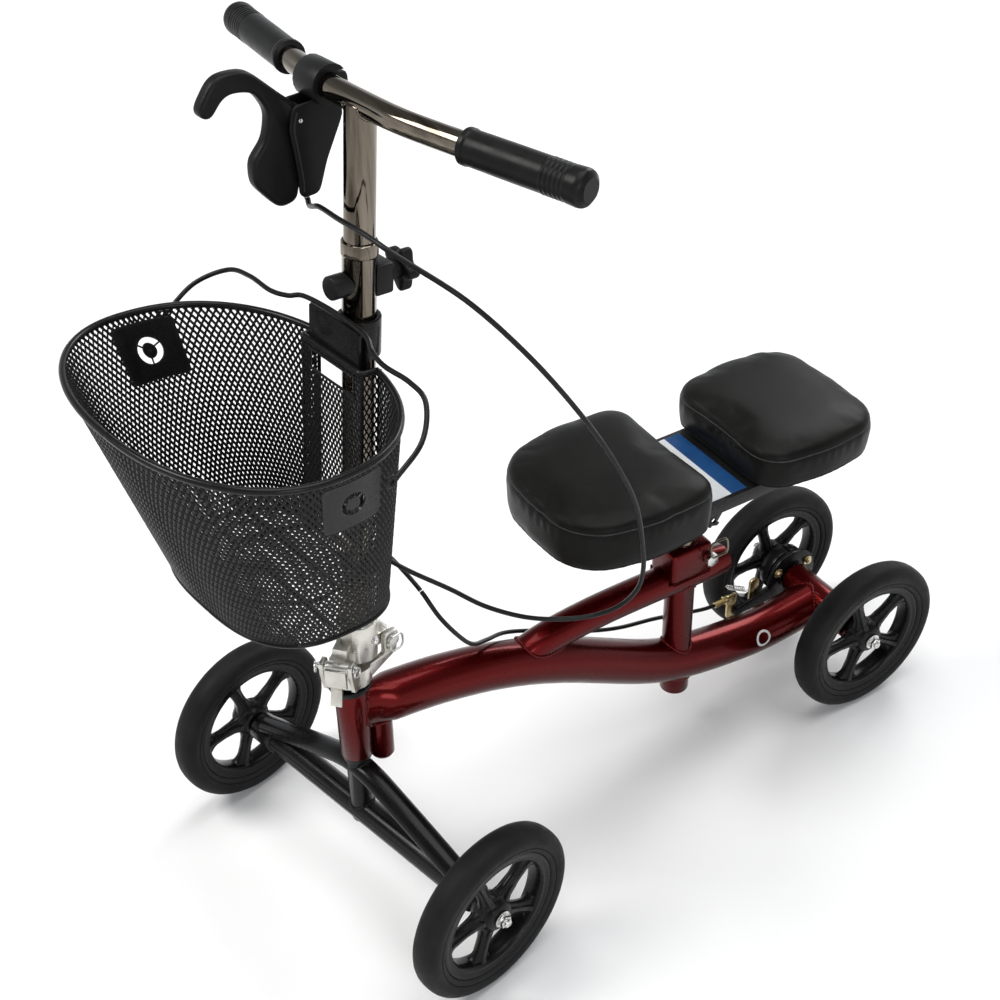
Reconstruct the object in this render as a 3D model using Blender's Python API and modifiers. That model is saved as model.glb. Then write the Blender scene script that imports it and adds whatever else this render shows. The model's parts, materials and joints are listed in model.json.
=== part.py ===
"""A steerable four-wheeled knee scooter with a folding tiller, two knee pads and a wire basket.

Metres, +Z up. The rider faces -Y and has +X on the left. The origin is on the floor, below the
middle of the whole object. The front end is turned a little to the rider's left, as parked.
"""

from math import acos, atan2, cos, pi, radians, sin

import bmesh
import bpy
from mathutils import Matrix, Vector

# ---------------------------------------------------------------- driving dimensions
ORIGIN_X = 0.0156            # scooter's mid-plane, from the origin
ORIGIN_Y = 0.0553             # point half way between the axles, from the origin

WHEEL_RADIUS = 0.1016         # 8 inch wheels
WHEELBASE = 0.6492
FRONT_TRACK = 0.403
REAR_TRACK = 0.180
FRONT_Y = -WHEELBASE / 2
REAR_Y = WHEELBASE / 2
AXLE_Z = WHEEL_RADIUS
AXLE_RADIUS = 0.0050
GAP = 0.0003                  # between pieces that touch
RUNNING_GAP = 0.0005          # between pieces that turn or slide

STEER_ANGLE = radians(12.6)   # how far the front end is turned to the left
STEM_LEAN = radians(5.92)     # how far the tiller leans back
STEM_BASE = (0, 0.0142, 0.335)   # tiller's axis, at the fold, from the steering axis
STEM_TWIST = radians(-4.6)    # how far the tiller is set round in its clamp

TYRE_HALF_WIDTH = 0.0165
RIM_RADIUS = 0.0763
HUB_HALF_WIDTH = 0.0165
SPOKES = 5
WHEEL_STEPS = 24

HEAD_BOTTOM = 0.1915
HEAD_TOP = 0.2845
HEAD_RADIUS = 0.0175
STEERER_RADIUS = 0.0127
MAIN_TUBE_RADIUS = 0.0268
UPPER_TUBE_RADIUS = 0.0190
SEAT_Y = 0.105
SEAT_TUBE_RADIUS = 0.0175
SEAT_POST_RADIUS = 0.0142
RECEIVER_TOP = 0.2880
CROSS_TUBE_RADIUS = 0.0200

FOLD_PIN_Y = 0.0450           # behind the steering axis
FOLD_PIN_Z = 0.3350
FOLD_PIN_RADIUS = 0.0040
LATCH_PIN_Y = -0.0300
LATCH_PIN_Z = 0.3400
LATCH_ANGLE = radians(32)     # the latch faces this far to the left of straight ahead
LATCH_PIN_RADIUS = 0.0025

STEM_RADIUS = 0.0159          # outer tube of the tiller
STEM_TOP = 0.4506             # along the tiller, from STEM_BASE, as are all heights below
POST_RADIUS = 0.0143          # inner tube of the tiller
BAR_HEIGHT = 0.5747
BAR_RADIUS = 0.0110
GRIP_RADIUS = 0.0152
KNOB_HEIGHT = 0.4120
BRACKET_LOW = 0.3400
BRACKET_HIGH = 0.3778
BASKET_BOTTOM = 0.1300
BASKET_RIM = 0.3460
BASKET_WALL = 0.0030
BASKET_REAR = -0.0110
BASKET_RECESS = 0.0470        # half the width of the recess for the tiller
BASKET_RECESS_Y = -0.0300
BASKET_STEPS = 16
BAIL_PIVOT = (0.0, -0.0945, 0.3308)
BAIL_LENGTH = 0.0886
BAIL_HALF_WIDTH = 0.1790
BAIL_WIRE = 0.0024

DECK_TOP = 0.3870
DECK_FRONT = -0.0650
DECK_BACK = 0.2800
DECK_THICKNESS = 0.0030
DECK_HALF_WIDTH = 0.0660
PAD_BOARD = 0.0080
PAD_HEIGHT = 0.0440
PAD_BOTTOM = DECK_TOP + PAD_BOARD + 2 * GAP
FRONT_SKIRT = 0.3760          # lowest edge of the front pad's cover

LEVER_X = -0.0620             # brake lever's middle plane, along the handlebar
LEVER_PIVOT = (LEVER_X, -0.0260, BAR_HEIGHT - 0.0270)
CABLE_RADIUS = 0.0025
CLIP_Y = 0.0220               # cable clip's eye, behind the tiller's axis
CLIP_HEIGHT = 0.1095
FERRULE_RADIUS = 0.0035
FERRULE_LINE = [(LEVER_X, -0.0125, BAR_HEIGHT - 0.1030), (LEVER_X, -0.0155, BAR_HEIGHT - 0.0900),
                (LEVER_X, -0.0158, BAR_HEIGHT - 0.0887)]
DRUM_RADIUS = 0.0290


# ---------------------------------------------------------------- scene and materials
for old in list(bpy.data.objects):
    bpy.data.objects.remove(old, do_unlink=True)

parts = bpy.data.collections.new("knee_scooter")
cutters = bpy.data.collections.new("cutters")
bpy.context.scene.collection.children.link(parts)
bpy.context.scene.collection.children.link(cutters)


def material(name, colour, roughness, metallic=0.0):
    made = bpy.data.materials.new(name)
    made.use_nodes = True
    shader = made.node_tree.nodes["Principled BSDF"]
    shader.inputs["Base Color"].default_value = (*colour, 1)
    shader.inputs["Roughness"].default_value = roughness
    shader.inputs["Metallic"].default_value = metallic
    return made


RED = ("red_paint", (0.22, 0.012, 0.014), 0.25, 0.5)
BLACK_METAL = ("black_paint", (0.012, 0.012, 0.013), 0.35, 0.0)
CHROME = ("chrome", (0.55, 0.53, 0.50), 0.12, 1.0)
CAST = ("cast_metal", (0.62, 0.62, 0.60), 0.35, 1.0)
ZINC = ("zinc", (0.60, 0.48, 0.26), 0.35, 1.0)
PLASTIC = ("black_plastic", (0.015, 0.015, 0.016), 0.45, 0.0)
WHEEL_PLASTIC = ("wheel_plastic", (0.014, 0.014, 0.015), 0.28, 0.0)
RUBBER = ("rubber", (0.022, 0.022, 0.024), 0.70, 0.0)
VINYL = ("vinyl", (0.018, 0.018, 0.018), 0.45, 0.0)


def empty(name, parent=None, location=(0, 0, 0), rotation=(0, 0, 0)):
    made = bpy.data.objects.new(name, None)
    parts.objects.link(made)
    made.parent = parent
    made.location = location
    made.rotation_euler = rotation
    return made


def node(name, body, finish, parent=None, location=(0, 0, 0), rotation=(0, 0, 0)):
    """Name a finished object, give it its own material and put it in its place."""
    body.name = name
    body.data.name = name
    for owner in list(body.users_collection):
        owner.objects.unlink(body)
    parts.objects.link(body)
    look, colour, roughness, metallic = finish
    body.data.materials.clear()
    body.data.materials.append(material(name + "_" + look, colour, roughness, metallic))
    tools = [change.object for change in body.modifiers if change.type == "BOOLEAN"]
    for piece in [body] + tools:
        piece.parent = parent
        piece.location = location
        piece.rotation_euler = rotation
    return body


# ---------------------------------------------------------------- shape tools
def mesh_object(name, mesh_data):
    made = bpy.data.objects.new(name, mesh_data)
    parts.objects.link(made)
    return made


def from_bmesh(name, shape):
    data = bpy.data.meshes.new(name)
    shape.to_mesh(data)
    shape.free()
    data.shade_smooth()
    data.set_sharp_from_angle(angle=radians(35))
    return mesh_object(name, data)


def baked(source):
    """Swap an object for a mesh of what it evaluates to, with its loose caps welded."""
    bpy.context.view_layer.update()
    graph = bpy.context.evaluated_depsgraph_get()
    data = bpy.data.meshes.new_from_object(source.evaluated_get(graph))
    shape = bmesh.new()
    shape.from_mesh(data)
    bmesh.ops.remove_doubles(shape, verts=shape.verts, dist=0.00001)
    bmesh.ops.transform(shape, matrix=source.matrix_world, verts=shape.verts)
    bmesh.ops.recalc_face_normals(shape, faces=shape.faces)
    name = source.name
    curve = source.data if source.type == "CURVE" else None
    bpy.data.objects.remove(source, do_unlink=True)
    if curve:
        bpy.data.curves.remove(curve)
    return from_bmesh(name, shape)


def cylinder(radius, start, end, sides=24, radius_end=None):
    """A straight rod or cone between two points."""
    start, end = Vector(start), Vector(end)
    along = end - start
    shape = bmesh.new()
    bmesh.ops.create_cone(
        shape, cap_ends=True, segments=sides, radius1=radius,
        radius2=radius if radius_end is None else radius_end, depth=along.length,
    )
    turn = along.to_track_quat("Z", "Y").to_matrix().to_4x4()
    place = Matrix.Translation((start + end) / 2) @ turn
    bmesh.ops.transform(shape, matrix=place, verts=shape.verts)
    return from_bmesh("rod", shape)


def box(low, high, bevel=0.0):
    low, high = Vector(low), Vector(high)
    shape = bmesh.new()
    bmesh.ops.create_cube(shape, size=1)
    bmesh.ops.scale(shape, vec=high - low, verts=shape.verts)
    bmesh.ops.translate(shape, vec=(low + high) / 2, verts=shape.verts)
    if bevel:
        bmesh.ops.bevel(
            shape, geom=shape.edges, offset=bevel, offset_type="OFFSET",
            segments=2, profile=0.5, affect="EDGES",
        )
    return from_bmesh("block", shape)


def between(points, count):
    """Evenly counted points on a smooth curve through the given points."""
    route = [Vector(p) for p in points]
    route.insert(0, 2 * route[0] - route[1])
    route.append(2 * route[-1] - route[-2])
    spans = len(points) - 1
    smooth = []
    for step in range(count):
        place = step / (count - 1) * spans
        first = min(int(place), spans - 1)
        t = place - first
        a, b, c, d = route[first:first + 4]
        smooth.append(0.5 * (
            2 * b + (c - a) * t + (2 * a - 5 * b + 4 * c - d) * t**2
            + (3 * b - a - 3 * c + d) * t**3
        ))
    return smooth


def tube(points, radius, resolution=4, closed=False, section=None):
    """A bent tube or wire through the points, made a mesh; section is a flattened outline's (wide, tall)."""
    data = bpy.data.curves.new("tube", "CURVE")
    data.dimensions = "3D"
    data.use_fill_caps = True
    data.bevel_resolution = resolution
    data.bevel_depth = radius
    spline = data.splines.new("POLY")
    spline.points.add(len(points) - 1)
    spline.use_cyclic_u = closed
    for target, place in zip(spline.points, points):
        target.co = (*place, 1)
    guide = None
    if section:
        guide_data = bpy.data.curves.new("section", "CURVE")
        guide_data.dimensions = "2D"
        ring = guide_data.splines.new("POLY")
        sides = 12
        ring.points.add(sides - 1)
        ring.use_cyclic_u = True
        for side in range(sides):
            turn = 2 * pi * side / sides
            ring.points[side].co = (section[0] * cos(turn), section[1] * sin(turn), 0, 1)
        guide = bpy.data.objects.new("section", guide_data)
        cutters.objects.link(guide)
        data.bevel_mode = "OBJECT"
        data.bevel_object = guide
    made = bpy.data.objects.new("tube", data)
    parts.objects.link(made)
    made = baked(made)
    if guide:
        bpy.data.objects.remove(guide, do_unlink=True)
    return made


def plate(outline, thickness, plane=None):
    """A flat outline given half its thickness each way; plane turns it from XY."""
    data = bpy.data.curves.new("plate", "CURVE")
    data.dimensions = "2D"
    data.fill_mode = "BOTH"
    data.extrude = thickness / 2
    spline = data.splines.new("POLY")
    spline.points.add(len(outline) - 1)
    spline.use_cyclic_u = True
    for target, place in zip(spline.points, outline):
        target.co = (place[0], place[1], 0, 1)
    made = bpy.data.objects.new("plate", data)
    parts.objects.link(made)
    if plane:
        made.matrix_world = plane
    return baked(made)


def rounded(corners, radius, steps=3):
    """An outline with each corner (x, y) or (x, y, its own radius) turned into an arc."""
    outline = []
    count = len(corners)
    for index, corner in enumerate(corners):
        here = Vector(corner[:2])
        before = (Vector(corners[index - 1][:2]) - here).normalized()
        after = (Vector(corners[(index + 1) % count][:2]) - here).normalized()
        size = corner[2] if len(corner) > 2 else radius
        if size <= 0:
            outline.append(here)
            continue
        half = acos(max(-1, min(1, before.dot(after)))) / 2
        middle = here + (before + after).normalized() * size / sin(half)
        start = here + before * size / abs(sin(half)) * cos(half)
        end = here + after * size / abs(sin(half)) * cos(half)
        first = atan2(start.y - middle.y, start.x - middle.x)
        sweep = atan2(end.y - middle.y, end.x - middle.x) - first
        sweep = (sweep + pi) % (2 * pi) - pi
        for step in range(steps + 1):
            turn = first + sweep * step / steps
            outline.append(middle + Vector((cos(turn), sin(turn))) * size)
    return outline


def turned(profile, steps, closed=True):
    """A turned piece about Z from a profile of (radius, height) that goes down its outer side."""
    data = bpy.data.meshes.new("turned")
    count = len(profile)
    edges = [(i, i + 1) for i in range(count - 1)]
    if closed:
        edges.append((count - 1, 0))
    data.from_pydata([(radius, 0, height) for radius, height in profile], edges, [])
    made = mesh_object("turned", data)
    screw = made.modifiers.new("turn", "SCREW")
    screw.steps = steps
    screw.render_steps = steps
    screw.use_merge_vertices = True
    screw.merge_threshold = 0.00001
    return baked(made)


def boolean(body, operation, other):
    change = body.modifiers.new(operation.lower(), "BOOLEAN")
    change.operation = operation
    change.object = other
    change.solver = "EXACT"
    for owner in list(other.users_collection):
        owner.objects.unlink(other)
    cutters.objects.link(other)
    other.hide_render = True
    other.display_type = "WIRE"


def cut(body, *others):
    for other in others:
        boolean(body, "DIFFERENCE", other)
    return body


def join(body, *others):
    for other in others:
        boolean(body, "UNION", other)
    return body


def settled(body):
    """Apply the booleans, for a mesh that is shared or moved afterwards."""
    tools = [change.object for change in body.modifiers]
    result = baked(body)
    for tool in tools:
        bpy.data.objects.remove(tool, do_unlink=True)
    return result


def mirrored(outline):
    """A right half from front to back, completed on the left."""
    return list(outline) + [(-x, y) for x, y in reversed(outline) if x > 0.000001]


# outline's (x, y) becomes (Y, Z)
SIDE_PLANE = Matrix.Rotation(pi / 2, 4, "Z") @ Matrix.Rotation(pi / 2, 4, "X")
# outline's (x, y) becomes (X, Z)
FRONT_PLANE = Matrix.Rotation(pi / 2, 4, "X")

LATCH_TURN = Matrix.Rotation(LATCH_ANGLE, 4, "Z")

# ---------------------------------------------------------------- joint axes
scooter = empty("scooter", location=(ORIGIN_X, ORIGIN_Y, 0))
steer_axis = empty("steer_axis", scooter, (0, FRONT_Y, 0), (0, 0, STEER_ANGLE))
stem_axis = empty("stem_axis", steer_axis, STEM_BASE, (-STEM_LEAN, 0, 0))
tiller_axis = empty("tiller_axis", stem_axis, rotation=(0, 0, STEM_TWIST))
fold_axis = empty("fold_axis", steer_axis, (0, FOLD_PIN_Y, FOLD_PIN_Z))
latch_place = LATCH_TURN @ Vector((0, LATCH_PIN_Y, LATCH_PIN_Z))
latch_axis = empty("latch_axis", steer_axis, latch_place, (0, 0, LATCH_ANGLE))
lever_axis = empty("lever_axis", tiller_axis, LEVER_PIVOT)
bail_axis = empty("bail_axis", tiller_axis, BAIL_PIVOT)
knob_axis = empty("knob_axis", tiller_axis, (0, 0, KNOB_HEIGHT))
seat_axis = empty("seat_axis", scooter, (0, SEAT_Y, 0))


# ---------------------------------------------------------------- frame
def main_frame():
    """Head tube, lug, main tube, upper tube, seat tube with its receiver and rear cross tube."""
    main_route = [
        (0, -0.316, 0.2525), (0, -0.289, 0.2500), (0, -0.220, 0.2412), (0, -0.143, 0.2218),
        (0, -0.063, 0.1884), (0, 0.050, 0.1266), (0, 0.105, 0.1052), (0, 0.172, 0.0920),
        (0, 0.240, 0.0865), (0, REAR_Y, 0.0930),
    ]
    upper_route = [(0, -0.130, 0.2150), (0, -0.085, 0.2300), (0, -0.020, 0.2370), (0, 0.060, 0.2375),
                   (0, 0.167, 0.2340)]
    frame = tube(between(main_route, 15), MAIN_TUBE_RADIUS, 5)
    join(frame, tube(between(upper_route, 7), UPPER_TUBE_RADIUS, 5))
    join(frame, cylinder(HEAD_RADIUS, (0, FRONT_Y, HEAD_BOTTOM), (0, FRONT_Y, HEAD_TOP), 20))
    lug_y = FRONT_Y + 0.030
    join(frame, cylinder(0.0135, (0, lug_y, 0.1765), (0, lug_y, 0.2350), 20))
    join(frame, cylinder(0.0105, (0, lug_y, 0.1715), (0, lug_y, 0.1800), 20))
    join(frame, cylinder(SEAT_TUBE_RADIUS, (0, SEAT_Y, 0.0600), (0, SEAT_Y, 0.2700), 20))
    receiver = box((-0.0220, SEAT_Y - 0.0280, 0.2450), (0.0220, SEAT_Y + 0.0280, RECEIVER_TOP), 0.0060)
    join(frame, receiver)
    join(frame, cylinder(CROSS_TUBE_RADIUS, (-0.0400, REAR_Y, AXLE_Z), (0.0700, REAR_Y, AXLE_Z), 20))
    cut(frame, cylinder(0.0142, (0, FRONT_Y, 0.1500), (0, FRONT_Y, 0.3200), 20))
    cut(frame, cylinder(SEAT_POST_RADIUS + RUNNING_GAP, (0, SEAT_Y, 0.0300), (0, SEAT_Y, 0.3200), 20))
    cut(frame, cylinder(AXLE_RADIUS + GAP, (-0.100, REAR_Y, AXLE_Z), (0.100, REAR_Y, AXLE_Z), 16))
    cut(frame, cylinder(0.0040, (0.0100, SEAT_Y + 0.0220, 0.2680), (0.0400, SEAT_Y + 0.0220, 0.2680), 12))
    return frame


def ring(outer, inner, low, high, sides=20):
    return turned([(outer, high), (outer, low), (inner, low), (inner, high)], sides)


def nut(across, bore, thickness):
    """A hexagonal nut along Z with a domed outer end, from 0 up."""
    blank = cylinder(across * 0.577, (0, 0, 0), (0, 0, thickness), 6)
    dome = turned([(0.0, thickness * 1.35), (across * 0.42, thickness * 1.2),
                   (across * 0.50, thickness * 0.8),
                   (across * 0.45, thickness * 0.3), (0.0, thickness * 0.3)], 16, closed=False)
    join(blank, dome)
    cut(blank, cylinder(bore, (0, 0, -0.010), (0, 0, thickness * 0.9), 16))
    return settled(blank)


node("main_frame", main_frame(), RED, scooter)
node("headset_lower_cup", ring(0.0160, 0.0133, HEAD_BOTTOM - 0.0058, HEAD_BOTTOM - GAP, 20), CAST, scooter,
     (0, FRONT_Y, 0))
node("headset_upper_cup", ring(0.0190, 0.0133, HEAD_TOP + GAP, HEAD_TOP + 0.0060, 20), PLASTIC, scooter,
     (0, FRONT_Y, 0))
lock_bolt = cylinder(0.0085, (0.0223, SEAT_Y + 0.0220, 0.2680), (0.0310, SEAT_Y + 0.0220, 0.2680), 6)
join(lock_bolt, cylinder(0.0036, (0.0105, SEAT_Y + 0.0220, 0.2680), (0.0260, SEAT_Y + 0.0220, 0.2680), 12))
node("seat_lock_bolt", lock_bolt, CAST, scooter)

REAR_AXLE_END = REAR_TRACK / 2 + HUB_HALF_WIDTH + 0.0110
FRONT_AXLE_END = FRONT_TRACK / 2 + HUB_HALF_WIDTH + 0.0110
node("rear_axle", cylinder(AXLE_RADIUS, (-REAR_AXLE_END + 0.004, 0, 0), (REAR_AXLE_END - 0.004, 0, 0), 16),
     CAST, scooter, (0, REAR_Y, AXLE_Z))
node("front_axle", cylinder(AXLE_RADIUS, (-FRONT_AXLE_END + 0.004, 0, 0), (FRONT_AXLE_END - 0.004, 0, 0), 16),
     CAST, steer_axis, (0, 0, AXLE_Z))
axle_nut = nut(0.0150, AXLE_RADIUS + GAP, 0.0080)
for name, parent, y, track in (("rear", scooter, REAR_Y, REAR_TRACK), ("front", steer_axis, 0, FRONT_TRACK)):
    for side_name, side in (("left", 1), ("right", -1)):
        copy = mesh_object("nut", axle_nut.data.copy())
        place = side * (track / 2 + HUB_HALF_WIDTH + 0.0008)
        node(name + "_axle_nut_" + side_name, copy, CAST, parent, (place, y, AXLE_Z), (0, side * pi / 2, 0))
bpy.data.objects.remove(axle_nut, do_unlink=True)


# ---------------------------------------------------------------- wheels
def wheel_rim():
    """Hub, web and rim bed in one moulding, about Z, with windows that leave the spokes."""
    rim_half = 0.0120
    web = 0.0060
    profile = [
        (RIM_RADIUS, rim_half), (RIM_RADIUS, -rim_half), (0.0655, -rim_half), (0.0640, -web), (0.0190, -web),
        (0.0180, -HUB_HALF_WIDTH), (0.0056, -HUB_HALF_WIDTH), (0.0056, HUB_HALF_WIDTH), (0.0180,
                                                                                         HUB_HALF_WIDTH),
        (0.0190, web), (0.0640, web), (0.0655, rim_half),
    ]
    step = 2 * pi / WHEEL_STEPS
    scale = 1 / cos(step / 2)
    rim = turned([(radius * scale, height) for radius, height in profile], WHEEL_STEPS)
    spoke_half = 0.0085
    inner, outer = 0.0270, 0.0620
    half_angle = pi / SPOKES
    corners = []
    for radius, side in ((inner, -1), (outer, -1), (outer * 1.035, 0), (outer, 1), (inner, 1)):
        turn = side * (half_angle - spoke_half / radius)
        corners.append((radius * cos(turn), radius * sin(turn), 0.006 if side else 0.060))
    for index in range(SPOKES):
        window = plate(rounded(corners, 0.006, 1), 0.040)
        window.data.transform(Matrix.Rotation(2 * half_angle * index + 0.31, 4, "Z"))
        cut(rim, window)
    rim = settled(rim)
    rim.data.transform(Matrix.Rotation(step / 2, 4, "Z"))
    return rim


def tyre():
    bed = RIM_RADIUS + GAP
    side = [(WHEEL_RADIUS, 0.0060), (0.0975, 0.0135), (0.0890, TYRE_HALF_WIDTH), (bed, 0.0130)]
    profile = [(radius, -height) for radius, height in side]
    profile += [(radius, height) for radius, height in reversed(side)]
    step = 2 * pi / WHEEL_STEPS
    made = turned([(radius / cos(step / 2), height) for radius, height in profile], WHEEL_STEPS)
    made.data.transform(Matrix.Rotation(step / 2, 4, "Z"))
    return made


rim_shape = wheel_rim()
tyre_shape = tyre()
for name, parent, y, track in (("rear", scooter, REAR_Y, REAR_TRACK), ("front", steer_axis, 0, FRONT_TRACK)):
    for side_name, side in (("left", 1), ("right", -1)):
        axis = empty(name + "_" + side_name + "_wheel_axis", parent, (side * track / 2, y, AXLE_Z))
        label = "_" + name + "_" + side_name
        node("rim" + label, mesh_object("rim", rim_shape.data.copy()), WHEEL_PLASTIC, axis,
             rotation=(0, pi / 2, 0))
        node("tyre" + label, mesh_object("tyre", tyre_shape.data.copy()), RUBBER, axis,
             rotation=(0, pi / 2, 0))
bpy.data.objects.remove(rim_shape, do_unlink=True)
bpy.data.objects.remove(tyre_shape, do_unlink=True)


# ---------------------------------------------------------------- band brake on the rear right wheel
def band_brake():
    """Drum on the wheel, backing plate and band on the frame, pull arm, spring and cable adjuster."""
    drum_out = -REAR_TRACK / 2 + HUB_HALF_WIDTH + 0.0010
    drum_in = -0.0530
    wheel_axis = bpy.data.objects["rear_right_wheel_axis"]
    drum = ring(DRUM_RADIUS, 0.0065, drum_out - 0.0002, drum_in)
    node("brake_drum", drum, PLASTIC, wheel_axis, (REAR_TRACK / 2, 0, 0), (0, pi / 2, 0))

    brake = empty("brake", scooter, (0, REAR_Y, AXLE_Z))
    shield_x = -0.0465
    shield = cylinder(0.0370, (shield_x - 0.0022, 0, 0), (shield_x + 0.0022, 0, 0), 20)
    tail = rounded([(-0.090, -0.030), (-0.020, -0.034), (-0.020, -0.004), (-0.090, -0.016)], 0.004)
    shield_tail = plate(tail, 0.0044, Matrix.Translation((shield_x, 0, 0)) @ SIDE_PLANE)
    join(shield, shield_tail)
    cut(shield, cylinder(AXLE_RADIUS + GAP, (-0.060, 0, 0), (-0.030, 0, 0), 16))
    node("brake_backing_plate", shield, BLACK_METAL, brake)

    band_inner = DRUM_RADIUS + RUNNING_GAP
    band_outer = band_inner + 0.0025
    band = ring(band_outer, band_inner, -0.0690, -0.0550)
    band = settled(cut(band, box((-0.060, -0.0030, -0.080), (-0.020, 0.0030, -0.040))))
    node("brake_band", band, CAST, brake, rotation=(0, pi / 2, 0))

    arm_axis = empty("brake_arm_axis", brake, (-0.0520, -0.0560, -0.0150))
    arm_outline = rounded([(-0.008, -0.008), (0.008, -0.008), (0.007, 0.030), (-0.007, 0.030)], 0.0055)
    arm = plate(arm_outline, 0.0030, SIDE_PLANE)
    cut(arm, cylinder(0.0029, (-0.010, 0, 0), (0.010, 0, 0), 12))
    node("brake_arm", arm, ZINC, arm_axis)
    pivot = cylinder(0.0026, (-0.0563, -0.0560, -0.0150), (-0.0489, -0.0560, -0.0150), 12)
    join(pivot, cylinder(0.0052, (-0.0575, -0.0560, -0.0150), (-0.0545, -0.0560, -0.0150), 6))
    node("brake_arm_bolt", pivot, CAST, brake)

    adjuster = cylinder(0.0038, (-0.0530, -0.1180, -0.0020), (-0.0530, -0.0890, 0.0000), 12)
    join(adjuster, cylinder(0.0060, (-0.0530, -0.1030, -0.0010), (-0.0530, -0.0960, -0.0005), 6))
    foot = plate(rounded([(-0.100, -0.029), (-0.086, -0.029), (-0.086, 0.007), (-0.100, 0.007)], 0.002),
                 0.0030,
                 Matrix.Translation((-0.0506, 0, 0)) @ SIDE_PLANE)
    join(adjuster, foot)
    node("cable_adjuster", adjuster, ZINC, brake)

    coil = [(-0.0600, -0.0520 + 0.0040 * cos(turn * pi / 4),
             -0.0150 + 0.0040 * sin(turn * pi / 4)) for turn in range(7)]
    spring = [(-0.0600, -0.0930, 0.0120)] + coil + [(-0.0600, -0.0720, 0.0180)]
    node("brake_spring", tube(spring, 0.0008, 1), CAST, brake)


band_brake()


# ---------------------------------------------------------------- steered front end
def front_fork():
    """Steerer and centre post, arched upper leg, straight axle tube and its end bosses."""
    fork = cylinder(STEERER_RADIUS, (0, 0, 0.0900), (0, 0, 0.3120), 20)
    axle_tube_end = FRONT_TRACK / 2 - HUB_HALF_WIDTH - 0.0100
    join(fork, cylinder(0.0150, (-axle_tube_end, 0, AXLE_Z), (axle_tube_end, 0, AXLE_Z), 20))
    arch = [(-0.166, 0, 0.1120), (-0.110, 0, 0.1350), (-0.050, 0, 0.1582), (-0.022, 0, 0.1675), (0, 0, 0.1705),
            (0.022, 0, 0.1675), (0.050, 0, 0.1582), (0.110, 0, 0.1350), (0.166, 0, 0.1120)]
    join(fork, tube(between(arch, 13), 0.01, section=(0.0135, 0.0100)))
    boss_end = FRONT_TRACK / 2 - HUB_HALF_WIDTH - RUNNING_GAP
    for side in (1, -1):
        join(fork, cylinder(0.0170, (side * 0.148, 0, AXLE_Z), (side * (boss_end - 0.004), 0, AXLE_Z), 20))
        join(fork, cylinder(0.0100, (side * 0.160, 0, AXLE_Z), (side * boss_end, 0, AXLE_Z), 16))
    cut(fork, cylinder(AXLE_RADIUS + GAP, (-0.250, 0, AXLE_Z), (0.250, 0, AXLE_Z), 16))
    return fork


def clamp_base():
    """Cast lower half of the fold clamp on the steerer, with rear hinge ears and front latch ears."""
    casting = cylinder(0.0225, (0, 0.0020, 0.2985), (0, 0.0040, 0.3195), 20)
    for side in (1, -1):
        ear = rounded([(0.010, 0.300), (0.050, 0.316), (0.055, 0.344), (0.036, 0.344), (0.0345, 0.3195),
                       (0.012, 0.3195)],
                      0.004, 2)
        ear_x = side * 0.0155
        join(casting, plate(ear, 0.0056, Matrix.Translation((ear_x, 0, 0)) @ SIDE_PLANE))
        lug = rounded([(-0.012, 0.300), (-0.012, 0.319), (-0.0235, 0.3475), (-0.0360, 0.3475),
                       (-0.0365, 0.334),
                       (-0.0300, 0.308)], 0.003)
        join(casting, plate(lug, 0.0040, LATCH_TURN @ Matrix.Translation((side * 0.0150, 0, 0)) @ SIDE_PLANE))
    cut(casting, cylinder(STEERER_RADIUS + GAP, (0, 0, 0.2800), (0, 0, 0.3125), 20))
    cut(casting, cylinder(FOLD_PIN_RADIUS + GAP, (-0.04, FOLD_PIN_Y, FOLD_PIN_Z),
                          (0.04, FOLD_PIN_Y, FOLD_PIN_Z), 16))
    pin_ends = [LATCH_TURN @ Vector((x, LATCH_PIN_Y, LATCH_PIN_Z)) for x in (-0.04, 0.04)]
    cut(casting, cylinder(LATCH_PIN_RADIUS + GAP, *pin_ends, 12))
    return casting


def fold_lever():
    """T-shaped latch handle about its pin: a cam, a wide strap and a narrower bent tab."""
    cam = cylinder(0.0062, (-0.0125, 0, 0), (0.0125, 0, 0), 16)
    strap = rounded([(-0.0085, 0.002), (-0.0040, 0.002), (-0.0045, -0.0215), (-0.0090, -0.0210)], 0.0012, 2)
    tab = rounded([(-0.0085, -0.014), (-0.0048, -0.014), (-0.0052, -0.026), (-0.0115, -0.0420),
                   (-0.0150, -0.0408),
                   (-0.0092, -0.026)], 0.0012, 2)
    join(cam, plate(strap, 0.0220, SIDE_PLANE))
    join(cam, plate(tab, 0.0120, SIDE_PLANE))
    cut(cam, cylinder(LATCH_PIN_RADIUS + RUNNING_GAP, (-0.03, 0, 0), (0.03, 0, 0), 12))
    return cam


node("front_fork", front_fork(), BLACK_METAL, steer_axis)
node("headset_cap", ring(0.0235, STEERER_RADIUS + GAP, 0.2912, 0.2955), PLASTIC, steer_axis)
node("fold_clamp_base", clamp_base(), CAST, steer_axis)
fold_pin = cylinder(FOLD_PIN_RADIUS, (-0.0205, 0, 0), (0.0215, 0, 0), 16)
join(fold_pin, cylinder(0.0065, (0.0188, 0, 0), (0.0230, 0, 0), 16))
node("fold_pin", fold_pin, CAST, fold_axis)
node("latch_pin", cylinder(LATCH_PIN_RADIUS, (-0.0185, 0, 0), (0.0185, 0, 0), 12), CAST, latch_axis)
node("fold_lever", fold_lever(), CAST, latch_axis)


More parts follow.
